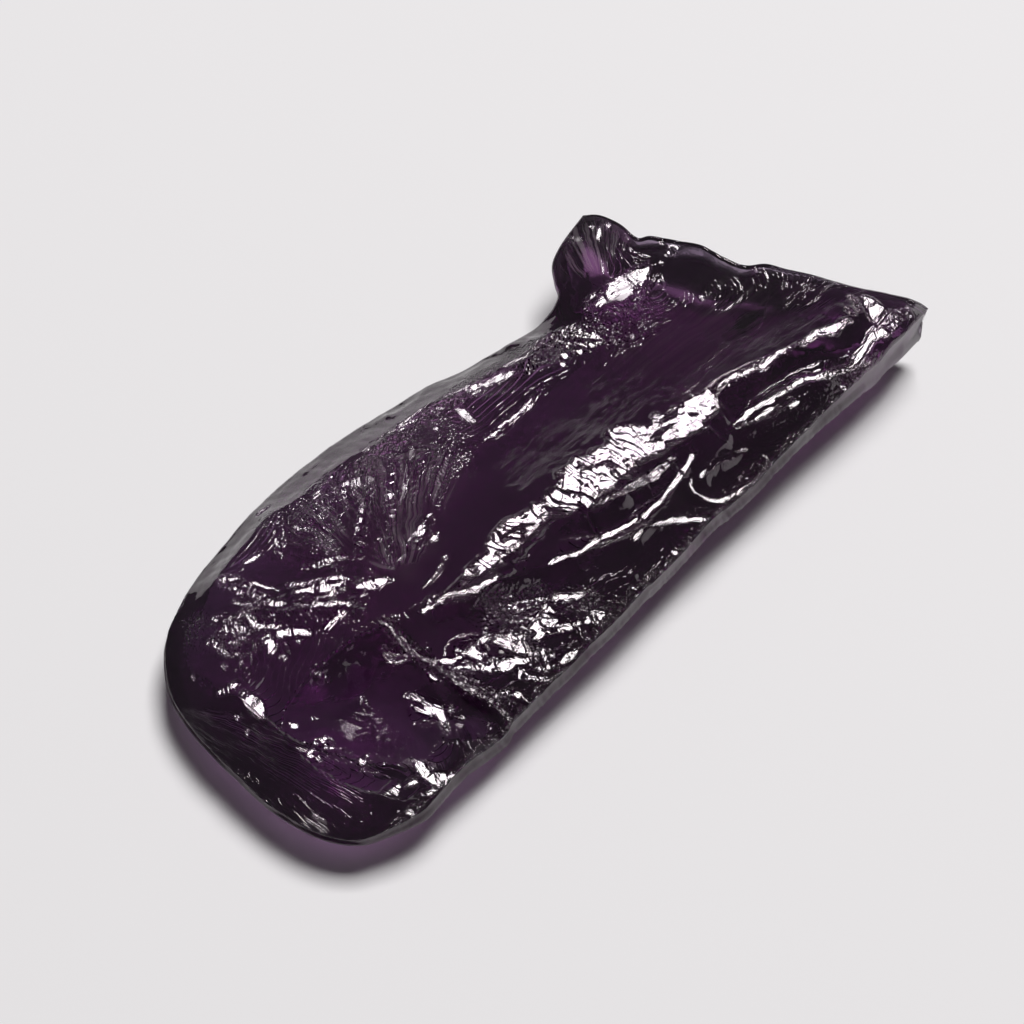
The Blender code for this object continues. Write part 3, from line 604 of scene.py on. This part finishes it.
# how lines and ripples stray: height and closeness of each kind of sway
LINE_SWAY = ((0.12, 0.9), (0.04, 3))
RIPPLE_SWAY = ((1.2, 0.8), (0.4, 2.5))


def sway(place, x, y, kinds, layer):
    """A coordinate that strays to and fro, so that no line runs quite straight."""
    for height, closeness in kinds:
        place = place + height * hills(x * closeness, y * closeness, layer)
        layer = layer + 1
    return place


# the share of a spread that is full, and how it fades at its near and far end
SPREAD_FULL = 0.45
NEAR_FADE = 1.5
FAR_FADE = 2.5


def from_point(x, y, centre, direction, spread, start, end):
    """Angle and distance from a point, and how far inside a ring sector each place is."""
    gap_x = x - centre[0]
    gap_y = y - centre[1]
    far = np.hypot(gap_x, gap_y)
    angle = (np.degrees(np.arctan2(gap_y, gap_x)) - direction + 180) % 360 - 180
    inside = smooth_step(spread, spread * SPREAD_FULL, np.abs(angle))
    inside = inside * smooth_step(start, start + NEAR_FADE, far)
    inside = inside * smooth_step(end, end - FAR_FADE, far)
    return angle, far, inside


# room kept round a band, how ragged it is, how close its lumps are, its full share
BAND_MARGIN = 0.5
BAND_RAGGED = 0.4
BAND_LUMPS = 1.7
BAND_FULL = 0.5


def ragged_band(x, y, line, half_width):
    """Which places lie near a band with ragged edges, and how deep inside it they are."""
    near = beside(line, x, y, half_width + BAND_MARGIN)
    distance = along_line(line, x[near], y[near])[0]
    lumps = hills(x[near] * BAND_LUMPS, y[near] * BAND_LUMPS, 5)
    distance = distance + BAND_RAGGED * half_width * lumps
    return near, smooth_step(half_width, half_width * BAND_FULL, np.abs(distance))


class Marks:
    """What the glass is told at each point, for lines finer than the mesh."""

    def __init__(self, shape):
        self.glint = np.zeros(shape + (3,))      # place across, place along, fullness
        self.rungs = np.zeros(shape)
        self.hair = np.zeros(shape + (3,))       # place across, place along, strength
        self.crushed = np.zeros(shape)
        self.glitter = np.zeros(shape)
        self.veil = np.zeros(shape)


def keep_stronger(vectors, near, across, along, strength):
    """Writes places across and along, and a strength, where that strength is the higher."""
    old = vectors[near]
    stronger = (strength > old[..., 2])[..., None]
    vectors[near] = np.where(stronger, np.stack([across, along, strength], -1), old)


FULL_HAIR_HEIGHT = 0.035     # relief at which the hair lines in the glass are strongest


def mark_hair(marks, across, along, inside, height):
    """Tells the glass where hair lines run; they are stronger where the relief is higher."""
    everywhere = np.ones(across.shape, bool)
    keep_stronger(marks.hair, everywhere, across.ravel(), along.ravel(),
                  (inside * height / FULL_HAIR_HEIGHT).ravel() ** 2)


TREAD_MARGIN = 0.6           # room kept round a tread
TREAD_PIECES = 12            # straight pieces that its line is followed in
TREAD_WIDEST = 0.8
TREAD_ENDS = 0.3             # width at its ends, as a share of its width in the middle
TREAD_UNEVEN = 0.35          # how much its width varies, and how often
TREAD_LUMPS = 1.6
LEAST_CUT = 0.10             # a tread of less than this half width is left to the glass
CUT_EDGE = 0.14              # width of the slope beside it
GLINT_EDGE = (0.16, -0.12)   # its glint ends this far outside its edge, and is full inside


def level_tread(x, y, z, marks, number, line, half_width, fullness):
    """A strip that lies level across and climbs in small steps along its line."""
    near = beside(line, x, y, half_width + TREAD_MARGIN)
    near_x = x[near]
    near_y = y[near]
    near_z = z[near]
    distance, share = along_line(line, near_x, near_y, TREAD_PIECES)
    middle = curve_through(line, TREAD_PIECES + 1)
    length = np.linalg.norm(np.diff(middle, axis=0), axis=1).sum()
    rounded_ends = TREAD_ENDS + (1 - TREAD_ENDS) * np.sin(np.pi * share)
    half = TREAD_WIDEST * half_width * rounded_ends
    lumps = hills(share * length * TREAD_LUMPS, distance * 0 + number, 1)
    half = half * (1 + TREAD_UNEVEN * lumps)
    if half_width >= LEAST_CUT:
        over = near_z - SEAT[0] * near_x - SEAT[1] * near_y
        spots = [over[np.argmin(np.hypot(near_x - a, near_y - b))] for a, b in middle]
        strip = stairs(np.interp(share, np.linspace(0, 1, TREAD_PIECES + 1), spots))
        strip = strip + SEAT[0] * near_x + SEAT[1] * near_y
        inside = smooth_step(CUT_EDGE, 0, np.abs(distance) - half)
        z[near] = near_z * (1 - inside) + strip * inside
    strength = fullness * smooth_step(*GLINT_EDGE, np.abs(distance) - half)
    keep_stronger(marks.glint, near, distance + 3 * number, share * length + number, strength)


SHELF_MARGIN = 3             # room kept round the shelf
SHELF_PIECES = 40            # straight pieces that its line is followed in
SHELF_SETBACKS = 6.5         # how many there are along its edges, and how far each goes
SHELF_SETBACK = 0.28
SHELF_UNEVEN = 0.28
SHELF_LUMPS = 34
SHELF_MEASURED_OFF = 0.4     # its height is taken this far beside its middle line,
SHELF_SMOOTHED_OVER = 9      # evened out over so many places, and sunk a little
SHELF_SUNK = 0.12
SHELF_TAPER = 0.04
SHELF_GLINT_EDGE = (0.3, -0.25)
SHELF_GLINT_TAPER = 0.02
SHELF_COUNTED = 19           # its length as rungs and streaks count it; it is 17.5 mm
HOLE_STRENGTH = 1.6
HOLE_EDGE = (0.08, -0.04)


def cut_shelf(x, y, z, marks):
    """The shelf: level across, with its edges set back step by step, and its dark gaps."""
    near = beside(SHELF_LINE, x, y, SHELF_MARGIN)
    distance, share = along_line(SHELF_LINE, x[near], y[near], SHELF_PIECES)
    stops = np.linspace(0, 1, len(SHELF_LINE))
    saw = (share * SHELF_SETBACKS + 0.3 * hills(share * 9, distance * 0.3, 2)) % 1 - 0.5
    distance = distance + SHELF_SETBACK * saw
    half = np.interp(share, stops, SHELF_HALF_WIDTHS)
    half = half * (1 + SHELF_UNEVEN * hills(share * SHELF_LUMPS, distance * 0.9, 1))
    middle = curve_through(SHELF_LINE, SHELF_PIECES + 1)
    top = big_form(middle[:, 0], middle[:, 1] + SHELF_MEASURED_OFF)
    top = top - SEAT[0] * middle[:, 0] - SEAT[1] * middle[:, 1]
    window = np.ones(SHELF_SMOOTHED_OVER) / SHELF_SMOOTHED_OVER
    top = np.convolve(np.pad(top, SHELF_SMOOTHED_OVER // 2, mode="edge"), window, mode="valid")
    strip = stairs(np.interp(share, np.linspace(0, 1, SHELF_PIECES + 1), top))
    strip = strip + SEAT[0] * x[near] + SEAT[1] * y[near] - SHELF_SUNK
    edge = np.where(distance > 0, SHELF_EDGES[0], SHELF_EDGES[1])
    inside = smooth_step(edge, 0, np.abs(distance) - half)
    inside = inside * smooth_step(0, SHELF_TAPER, share) * smooth_step(1, 1 - SHELF_TAPER, share)
    z[near] = z[near] * (1 - inside) + strip * inside
    strength = np.interp(share, stops, SHELF_FILL)
    strength = strength * smooth_step(*SHELF_GLINT_EDGE, np.abs(distance) - half)
    strength = strength * smooth_step(0, SHELF_GLINT_TAPER, share)
    strength = strength * smooth_step(1, 1 - SHELF_GLINT_TAPER, share)
    keep_stronger(marks.glint, near, distance, share * SHELF_COUNTED, strength)
    marks.rungs[near] = np.interp(share, stops, SHELF_RUNGS) * (strength > 0)
    for half_width, line in SHELF_HOLES:
        near = beside(line, x, y, half_width + 0.2)
        distance, share = along_line(line, x[near], y[near])
        half = half_width * np.sin(np.pi * share)
        hole = smooth_step(*HOLE_EDGE, np.abs(distance) - half)
        marks.glint[near, 2] -= HOLE_STRENGTH * hole


def cut_spark(x, y, z, marks, spark_x, spark_y, size):
    """One small flat facet that mirrors the softbox."""
    near = np.hypot(x - spark_x, y - spark_y) < size + 0.3
    gap_x = x[near] - spark_x
    gap_y = y[near] - spark_y
    gap = np.hypot(gap_x, gap_y)
    middle = z[near][np.argmin(gap)]
    inside = smooth_step(size * 1.5 + 0.1, size * 0.7, gap)
    plane = middle + LEVEL[0] * gap_x + LEVEL[1] * gap_y
    z[near] = z[near] * (1 - inside) + plane * inside
    keep_stronger(marks.glint, near, gap_x, gap_y, smooth_step(size + 0.1, size * 0.6, gap))


RIDGE_FADE = 0.25
RIBBED_RUNGS = 0.8
# crushed bands spare the glints that they meet, except where their splinters are sharp
GLINT_SPARED = 0.8
SHARP_SPLINTERS = 0.55
FULLY_CRUSHED = 0.7


def fine_form(x, y):
    """Height of the fracture face with all its relief, and the marks for the glass."""
    marks = Marks(x.shape)
    bent_x = sway(x, x, y, LINE_SWAY, 0)
    bent_y = sway(y, x, y, LINE_SWAY, 2)
    z = big_form(bent_x, bent_y)
    from_rim, rim_share = along_line(THIN_RIM, bent_x, bent_y, 40)
    rim_z = np.interp(rim_share, THIN_RIM_STOPS, THIN_RIM_HEIGHTS)
    steeper = np.interp(rim_share, STEEPER_STOPS, STEEPER_BEVEL)
    bevel = rim_z + BEVEL[0] + BEVEL[1] * steeper * np.abs(from_rim)

    for line, *shape in RIDGES:
        z = z + crest(bent_x, bent_y, line, *shape, RIDGE_FADE, RIDGE_FADE)
    for number, (apex, direction, spread, start, end, lines, height) in enumerate(FANS):
        angle, far, inside = from_point(bent_x, bent_y, apex, direction, spread, start, end)
        line_height = (hills(angle * lines + 40, far * 0.18, 0)
                       + 0.5 * hills(angle * lines * 2.1, far * 0.3, 1))
        z = z + height * inside * line_height * (0.6 + 0.4 * hills(x * 0.5, y * 0.5, 2))
        mark_hair(marks, angle * lines * 3 + 31 * number, far, inside, height)
    for number, (centre, direction, spread, start, end, spacing, height) in enumerate(RIPPLES):
        angle, far, inside = from_point(bent_x, bent_y, centre, direction, spread, start, end)
        turns = sway(far / spacing, x, y, RIPPLE_SWAY, 3)
        z = z + height * inside * np.sin(2 * np.pi * turns)
        mark_hair(marks, far / spacing * 1.5 + 57 * number, np.radians(angle) * far, inside,
                  height)

    cut_shelf(x, y, z, marks)
    for number, (half_width, fullness, line) in enumerate(GLINTS, 1):
        level_tread(bent_x, bent_y, z, marks, number, line, half_width, fullness)
    for number, (half_width, fullness, line) in enumerate(RIBBED, 200):
        before = marks.glint[..., 2].copy()
        level_tread(bent_x, bent_y, z, marks, number, line, half_width, fullness)
        marks.rungs = np.where(marks.glint[..., 2] > before, RIBBED_RUNGS, marks.rungs)
    for spark in SPARKS:
        cut_spark(x, y, z, marks, *spark)

    for line, half_width, size, slope in CRUSHED:
        near, inside = ragged_band(x, y, line, half_width)
        glinting = np.clip(marks.glint[near, 2] - float(slope > SHARP_SPLINTERS), 0, 1)
        inside = inside * (1 - GLINT_SPARED * glinting)
        z[near] = z[near] + size * inside * splinters(x[near] / size, y[near] / size, slope)
        marks.crushed[near] = np.maximum(marks.crushed[near], inside * slope / FULLY_CRUSHED)
    for line, half_width, strength in GLITTER:
        near, inside = ragged_band(x, y, line, half_width)
        marks.glitter[near] = np.maximum(marks.glitter[near], inside * strength)
    z = np.where(rim_share < BEVEL_ENDS, np.minimum(z, bevel), z)
    for centre, radius, strength in VEILS:
        far = np.hypot(x - centre[0], y - centre[1]) + 0.5 * hills(x, y, 2)
        marks.veil = np.maximum(marks.veil, strength * smooth_step(radius, radius * 0.3, far))
    return z, marks


def grid_plan(cells_along, cells_across):
    """Where the points of a square grid lie in the rim: a patch between its four sides."""
    wall = curve_through(WALL_RIM, cells_along + 1)
    thin = curve_through(THIN_RIM, cells_along + 1)
    rounded = curve_through(ROUND_RIM, cells_across + 1)
    broken = curve_through(BROKEN_RIM, cells_across + 1)
    u = np.linspace(0, 1, cells_along + 1)[None, :, None]
    v = np.linspace(0, 1, cells_across + 1)[:, None, None]
    across = (1 - v) * wall[None] + v * thin[None]
    length = (1 - u) * rounded[:, None] + u * broken[:, None]
    corners = ((1 - u) * (1 - v) * wall[0] + u * (1 - v) * wall[-1]
               + (1 - u) * v * thin[0] + u * v * thin[-1])
    return across + length - corners


# ---------------------------------------------------------------- the stone: its mesh
# The splinter is one closed skin: the fracture face, the grown wall and the broken ends
# going down from its rim, and the rounded back with the small flat that it rests on.
plan = grid_plan(CELLS_ALONG, CELLS_ACROSS)
relief_height, marks = fine_form(plan[..., 0], plan[..., 1])
face = np.dstack([plan, relief_height])
rows, columns = face.shape[:2]
number = np.arange(rows * columns).reshape(rows, columns)
around = np.concatenate([number[0, :-1], number[:-1, -1], number[-1, :0:-1], number[:0:-1, 0]])
u = np.linspace(0, 1, columns)[None, :].repeat(rows, 0).ravel()[around]
v = np.linspace(0, 1, rows)[:, None].repeat(columns, 1).ravel()[around]
rim = face.reshape(-1, 3)[around]


def way_down(u, v):
    """Drop, stand-out and roundness at rim points, blended where two sides meet."""
    length = WALL_RIM[-1][0] - WALL_RIM[0][0]
    width = BROKEN_RIM[-1][1] - BROKEN_RIM[0][1]
    from_sides = (v * width, u * length, (1 - v) * width, (1 - u) * length)
    nearness = np.clip([1 - away / CORNER_BLEND for away in from_sides], 0, 1)
    sides = np.array([WALL_SIDE, ROUND_SIDE, THIN_SIDE, BROKEN_SIDE])
    return sides.T @ (nearness / nearness.sum(axis=0))


# lumps on the walls: height, closeness along, closeness upward, layer
COARSE_LUMPS = (0.12, 0.5, 1.1, 1)
FINE_LUMPS = (0.05, 1.6, 3.2, 2)
WALLS_SET_IN = 0.15


def lumps_on(ring, height, along, upward, layer):
    """Low lumps on the walls."""
    return height * hills(ring[:, 0] * along, ring[:, 1] * along + ring[:, 2] * upward, layer)


drop, stand_out, roundness = way_down(u, v)
drop = drop + WALL_TALLER_AT_TIP * smooth_step(TIP_STARTS, TIP_ENDS, rim[:, 0]) * (v == 0)
run = np.roll(rim, -1, axis=0)[:, :2] - np.roll(rim, 1, axis=0)[:, :2]
outward = np.column_stack([run[:, 1], -run[:, 0]])
outward /= np.linalg.norm(outward, axis=1, keepdims=True)
widest = rim.copy()
widest[:, :2] += outward * stand_out[:, None]
widest[:, 2] -= drop
flat = np.column_stack([widest[:, 0] * FLAT_LENGTH_SHARE + FLAT_SHIFT,
                        widest[:, 1] * FLAT_WIDTH_SHARE, 0 * drop])
rings = []
for step in range(1, SIDE_RINGS + 1):
    part = step / SIDE_RINGS
    outward_part = np.sin(part * np.pi / 2)
    ring = rim + (widest - rim) * np.array([outward_part, outward_part, part])
    uneven = lumps_on(ring, *COARSE_LUMPS) - WALLS_SET_IN + lumps_on(ring, *FINE_LUMPS)
    ring[:, :2] += outward * (uneven * np.sin(part * np.pi))[:, None]
    rings.append(ring)
for step in range(1, BACK_RINGS + 1):
    turn = 0.5 * np.pi * step / (BACK_RINGS + 1)
    outer = (np.cos(turn) ** (2 / roundness))[:, None]
    ring = flat + (widest - flat) * outer
    ring[:, 2] = widest[:, 2] * (1 - np.sin(turn) ** (2 / roundness))
    rings.append(ring)
rings.append(flat)
points = np.vstack([face.reshape(-1, 3)] + rings)
quads = [np.column_stack([number[:-1, :-1].ravel(), number[:-1, 1:].ravel(),
                          number[1:, 1:].ravel(), number[1:, :-1].ravel()])]
above = around
for i in range(len(rings)):
    below = rows * columns + i * len(around) + np.arange(len(around))
    quads.append(np.column_stack([above, below, np.roll(below, -1), np.roll(above, -1)]))
    above = below
polygons = np.vstack(quads).tolist() + [above[::-1].tolist()]
points = np.clip(points, np.array(cad_box[0]) / MM, np.array(cad_box[1]) / MM)
mesh = bpy.data.meshes.new("alexandrite")
mesh.from_pydata((points * MM).tolist(), [], polygons)
mesh.update()
mesh.shade_smooth()
stone = bpy.data.objects.new("alexandrite", mesh)
bpy.context.collection.objects.link(stone)

# gaps in the glints, and rungs that bend and crowd together
GAP_LEAST = 0.68             # the higher, the rarer the gaps
GAP_SHARPNESS = 6
RUNGS_TO_A_MM = 2.4
RUNG_BEND = 1.2
glint_across = marks.glint[..., 0]
glint_along = marks.glint[..., 1]
gaps = hills(glint_across * 4.4, glint_along * 1.1, 4)
gaps = np.clip(GAP_SHARPNESS * (gaps - GAP_LEAST), 0, 1)
marks.glint[..., 2] -= gaps * (marks.glint[..., 2] > 0)
bends = hills(glint_across * 1.1, glint_along * 1.6, 5)
rung_place = RUNGS_TO_A_MM * glint_along + glint_across + RUNG_BEND * bends

# places whose slope happens to be level: the glass is told to break them up
LEVEL_BY_CHANCE = (0.34, 0.16)
along = np.gradient(face, axis=1)
across = np.gradient(face, axis=0)
upright = np.cross(along, across)
off_level = np.hypot(-upright[..., 0] / upright[..., 2] - LEVEL[0],
                     -upright[..., 1] / upright[..., 2] - LEVEL[1])
dulled = smooth_step(*LEVEL_BY_CHANCE, off_level)
count = len(points)
face_count = rows * columns
skin = np.ones(count)
skin[:face_count] = 0
mesh.attributes.new("skin", "FLOAT", "POINT").data.foreach_set("value", skin)
for name, kind, field, size, values in (
        ("glints", "FLOAT_VECTOR", "vector", 3, marks.glint),
        ("hair lines", "FLOAT_VECTOR", "vector", 3, marks.hair),
        ("rungs", "FLOAT", "value", 1, marks.rungs),
        ("rung place", "FLOAT", "value", 1, rung_place),
        ("crushed", "FLOAT", "value", 1, marks.crushed),
        ("glitter", "FLOAT", "value", 1, marks.glitter),
        ("dulled", "FLOAT", "value", 1, dulled),
        ("veil", "FLOAT", "value", 1, marks.veil)):
    at_points = np.zeros((count, size))
    at_points[:face_count] = values.reshape(face_count, size)
    mesh.attributes.new(name, kind, "POINT").data.foreach_set(field, at_points.ravel())

# ---------------------------------------------------------------- the stone: its glass
# Alexandrite is chrysoberyl: clear, hard and strongly refracting. Thick parts swallow
# all but a little purple; treads, rungs and hairs finer than the mesh are bump here.
STEP = 0.08                  # height of the finest steps, in millimetres
REFRACTION = 1.746
CLEARNESS = 0.985
MIRROR_TINT = (1.0, 0.92, 0.96, 1)
CLEAR_COLOUR = (0.42, 0.33, 0.45, 1)
HAZY_COLOUR = (0.85, 0.80, 0.78, 1)
BODY_COLOUR = (0.56, 0.12, 0.54, 1)
BODY_DENSITY = 380.0         # strength of the body colour, to a metre of depth
POLISH = 0.03                # roughness of the clear fracture, and what haze and skin add
HAZE_ROUGHNESS = 0.45
SKIN_ROUGHNESS = 0.3
WHITE_TREAD = (0.26, 0.46)   # fullness at which a tread starts to glint, and glints fully
RISER_PART = (0.88, 1.0)     # part of each fine step that goes up
CHANCE_TILT = 3.0
RUNG_DEPTH = 0.25
HAIR_HEIGHT = 0.05
GRIT_CLOSENESS = 7.0
CRUSHED_GRIT = 0.10
GLITTER_GRIT = 0.13
LEAST_GRIT = 0.003
# closeness across and along their lines
STREAKS = (5.0, 1.3)
HAIRS = (1.4, 0.35)
SOFT_RIBS = (0.5, 0.15)
glass = bpy.data.materials.new("alexandrite glass")
glass.use_nodes = True
nodes = glass.node_tree.nodes
links = glass.node_tree.links


def add_node(kind, **settings):
    """A new node of the glass with its settings."""
    node = nodes.new(kind)
    for name, value in settings.items():
        setattr(node, name, value)
    return node


def wire(value, socket):
    """Joins an output to a socket, or sets the socket to a plain number."""
    if isinstance(value, bpy.types.NodeSocket):
        links.new(value, socket)
    else:
        socket.default_value = value


def maths(operation, a, b=0.0, c=0.0, clamp=False):
    """The output of one maths node."""
    node = add_node("ShaderNodeMath", operation=operation, use_clamp=clamp)
    for value, socket in zip((a, b, c), node.inputs):
        wire(value, socket)
    return node.outputs[0]


def times(a, b):
    """The product of two values."""
    return maths("MULTIPLY", a, b)


def plus(a, b):
    """The sum of two values."""
    return maths("ADD", a, b)


def minus(a, b):
    """The first value less the second."""
    return maths("SUBTRACT", a, b)


def times_plus(a, b, c):
    """The product of two values, and a third added."""
    return maths("MULTIPLY_ADD", a, b, c)


def noise(vector, scale, detail=1.0, roughness=0.5):
    """Noise about 0, at a scale in lumps to a unit."""
    node = add_node("ShaderNodeTexNoise", noise_dimensions="2D")
    node.inputs["Scale"].default_value = scale
    node.inputs["Detail"].default_value = detail
    node.inputs["Roughness"].default_value = roughness
    wire(vector, node.inputs["Vector"])
    return minus(node.outputs["Fac"], 0.5)


def along_lines(across, along, closeness):
    """A place beside marked lines, as one vector at that closeness."""
    scaled = [times(across, closeness[0]), times(along, closeness[1])]
    node = add_node("ShaderNodeCombineXYZ")
    wire(scaled[0], node.inputs[0])
    wire(scaled[1], node.inputs[1])
    return node.outputs[0]


def parts_of(vector):
    """The three values of a vector."""
    node = add_node("ShaderNodeSeparateXYZ")
    wire(vector, node.inputs[0])
    return node.outputs


def ramp(value, start, end, kind="SMOOTHSTEP"):
    """0 at start, 1 at end."""
    node = add_node("ShaderNodeMapRange", interpolation_type=kind)
    wire(value, node.inputs["Value"])
    wire(start, node.inputs["From Min"])
    wire(end, node.inputs["From Max"])
    return node.outputs["Result"]


def mark(name, output="Fac"):
    """A mark that the mesh carries at its points."""
    return add_node("ShaderNodeAttribute", attribute_name=name).outputs[output]


place = add_node("ShaderNodeTexCoord").outputs["Object"]
to_millimetres = add_node("ShaderNodeVectorMath", operation="SCALE")
to_millimetres.inputs["Scale"].default_value = 1000
wire(place, to_millimetres.inputs[0])
millimetres = to_millimetres.outputs[0]
x, y, z = parts_of(millimetres)

# treads: how far each place is above a plane that mirrors the softbox, in steps
glint_across, glint_along, glint_full = parts_of(mark("glints", "Vector"))
streak = noise(along_lines(glint_across, glint_along, STREAKS), 1.0, 2.0, 0.6)
over = minus(z, plus(times(x, LEVEL[0]), times(y, LEVEL[1])))
rungs = mark("rungs")
shift = times(streak, times_plus(rungs, -0.12, 0.16))
steps = maths("DIVIDE", plus(over, shift), STEP)
whole = maths("FLOOR", steps)
part = minus(steps, whole)
fullness = times_plus(streak, 1.5, glint_full)
white = ramp(fullness, *WHITE_TREAD)
# on a white tread the fine steps are level; where the face is level by chance they tilt
dark_tilt = times(mark("dulled"), CHANCE_TILT)
tilt = minus(dark_tilt, times(white, plus(dark_tilt, 1.0)))
riser = ramp(part, *RISER_PART, "LINEAR")
tread = times(times(minus(part, riser), tilt), STEP)
tread = plus(tread, times(shift, white))

# rungs: narrow grooves across the shelf
rung_place = mark("rung place")
rung_number = maths("FLOOR", rung_place)
rung_part = maths("ABSOLUTE", minus(minus(rung_place, rung_number), 0.5))
rung_random = add_node("ShaderNodeTexWhiteNoise", noise_dimensions="1D")
wire(rung_number, rung_random.inputs["W"])
rung_width = times_plus(rung_random.outputs["Value"], 0.5, times(streak, 0.9))
rung_width = times(rungs, rung_width)
groove = times(maths("MAXIMUM", minus(rung_width, rung_part), 0.0), -RUNG_DEPTH)

# hairs: fine lines along the marked direction
hair_across, hair_along, hair_strength = parts_of(mark("hair lines", "Vector"))
hair_noise = noise(along_lines(hair_across, hair_along, HAIRS), 1.0)
hair = times(times(hair_noise, hair_strength), HAIR_HEIGHT)

# grit: a faint grain all over, stronger in crushed places and where the face glitters
crushed = mark("crushed")
grit_height = times_plus(mark("glitter"), GLITTER_GRIT, LEAST_GRIT)
grit_height = times_plus(crushed, CRUSHED_GRIT, grit_height)
grit = times(noise(millimetres, GRIT_CLOSENESS, 0.0), grit_height)

fine = plus(hair, grit)
fine = minus(fine, times(fine, white))
relief = plus(plus(tread, groove), fine)
bump = add_node("ShaderNodeBump")
bump.inputs["Strength"].default_value = 1.0
bump.inputs["Distance"].default_value = MM
wire(relief, bump.inputs["Height"])

# haze: crushed places, and a milky veil in soft ribs
veil = mark("veil")
soft_noise = noise(along_lines(hair_across, hair_along, SOFT_RIBS), 1.0)
ribs = times_plus(hair_noise, 1.5, 0.6)
haze = maths("ADD", times(crushed, 0.4), times(veil, times_plus(soft_noise, 3.5, ribs)),
             clamp=True)
tint = add_node("ShaderNodeMix", data_type="RGBA")
wire(haze, tint.inputs["Factor"])
tint.inputs["A"].default_value = CLEAR_COLOUR
tint.inputs["B"].default_value = HAZY_COLOUR

shader = nodes["Principled BSDF"]
shader.inputs["IOR"].default_value = REFRACTION
shader.inputs["Transmission Weight"].default_value = CLEARNESS
shader.inputs["Specular Tint"].default_value = MIRROR_TINT
wire(tint.outputs["Result"], shader.inputs["Base Color"])
roughness = times_plus(haze, HAZE_ROUGHNESS, POLISH)
roughness = times_plus(mark("skin"), SKIN_ROUGHNESS, roughness)
wire(roughness, shader.inputs["Roughness"])
wire(bump.outputs["Normal"], shader.inputs["Normal"])
body = add_node("ShaderNodeVolumeAbsorption")
body.inputs["Color"].default_value = BODY_COLOUR
body.inputs["Density"].default_value = BODY_DENSITY
wire(body.outputs["Volume"], nodes["Material Output"].inputs["Volume"])
mesh.materials.append(glass)
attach(stone, "root")
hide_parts("rough_alexandrite")

# ---------------------------------------------------------------- camera
# A long lens close above the stone looks steeply down on it from the side of its wall,
# turned so that the stone lies aslant with its tip toward the lower right.
ELEVATION = math.radians(58.0)
AZIMUTH = math.radians(-49.7)
CAMERA_DISTANCE = 0.1496
LOOKS_AT = Vector((-1.90, -0.92, 4.0)) * MM
back = Vector((math.sin(AZIMUTH) * math.cos(ELEVATION),
               -math.cos(AZIMUTH) * math.cos(ELEVATION), math.sin(ELEVATION)))
right = Vector((math.cos(AZIMUTH), math.sin(AZIMUTH), 0))
up = back.cross(right)


def stand(name, data, right, up, back, place):
    """A camera or lamp that looks against its back, at a place."""
    thing = bpy.data.objects.new(name, data)
    turned = Matrix((right, up, back)).transposed().to_4x4()
    turned.translation = place
    thing.matrix_world = turned
    bpy.context.collection.objects.link(thing)
    return thing


lens = bpy.data.cameras.new("camera")
lens.lens = 100
lens.sensor_width = 36
lens.clip_start = 0.005
lens.clip_end = 50
camera = stand("camera", lens, right, up, back, LOOKS_AT + back * CAMERA_DISTANCE)
bpy.context.scene.camera = camera

# ---------------------------------------------------------------- the sheet under it
# A plain pale sheet, matt and level, far wider than the stone. It lies a hair below the
# stone's flat, so that the two never share a plane.
SHEET_SIZE = 3
SHEET_HEIGHT = -0.00002
bpy.ops.mesh.primitive_plane_add(size=SHEET_SIZE, location=(0, 0, SHEET_HEIGHT))
floor = bpy.context.object
floor.name = "floor"
paper = bpy.data.materials.new("pale sheet")
paper.use_nodes = True
paper_shader = paper.node_tree.nodes["Principled BSDF"]
paper_shader.inputs["Base Color"].default_value = (0.84, 0.82, 0.83, 1)
paper_shader.inputs["Roughness"].default_value = 0.9
paper_shader.inputs["Specular IOR Level"].default_value = 0.1
floor.data.materials.append(paper)

# ---------------------------------------------------------------- softbox and dim room
# One square softbox hangs high beyond the stone, a little to the right, where the level
# treads mirror it. The room adds a faint even light.
LAMP_TO_THE_RIGHT = math.radians(33)
LAMP_ELEVATION = math.radians(69)
LAMP_DISTANCE = 1.0
LAMP_HALF_ANGLE = math.radians(11.5)
LAMP_RADIANCE = 19.4
ROOM_LIGHT = 0.05
beyond = Vector((-back.x, -back.y, 0)).normalized()
lamp_way = beyond * math.cos(LAMP_TO_THE_RIGHT) + right * math.sin(LAMP_TO_THE_RIGHT)
lamp_way = lamp_way * math.cos(LAMP_ELEVATION) + Vector((0, 0, 1)) * math.sin(LAMP_ELEVATION)
softbox = bpy.data.lights.new("window", "AREA")
softbox.shape = "RECTANGLE"
softbox.size = 2 * LAMP_DISTANCE * math.tan(LAMP_HALF_ANGLE)
softbox.size_y = softbox.size
softbox.energy = LAMP_RADIANCE * math.pi * softbox.size * softbox.size_y
lamp_side = (right - right.dot(lamp_way) * lamp_way).normalized()
stand("window", softbox, lamp_side, lamp_way.cross(lamp_side), lamp_way,
      lamp_way * LAMP_DISTANCE)
room = bpy.data.worlds.new("room")
bpy.context.scene.world = room
room.use_nodes = True
room_light = room.node_tree.nodes["Background"]
room_light.inputs["Color"].default_value = (1, 1, 1, 1)
room_light.inputs["Strength"].default_value = ROOM_LIGHT
bpy.context.scene.view_settings.view_transform = "Standard"
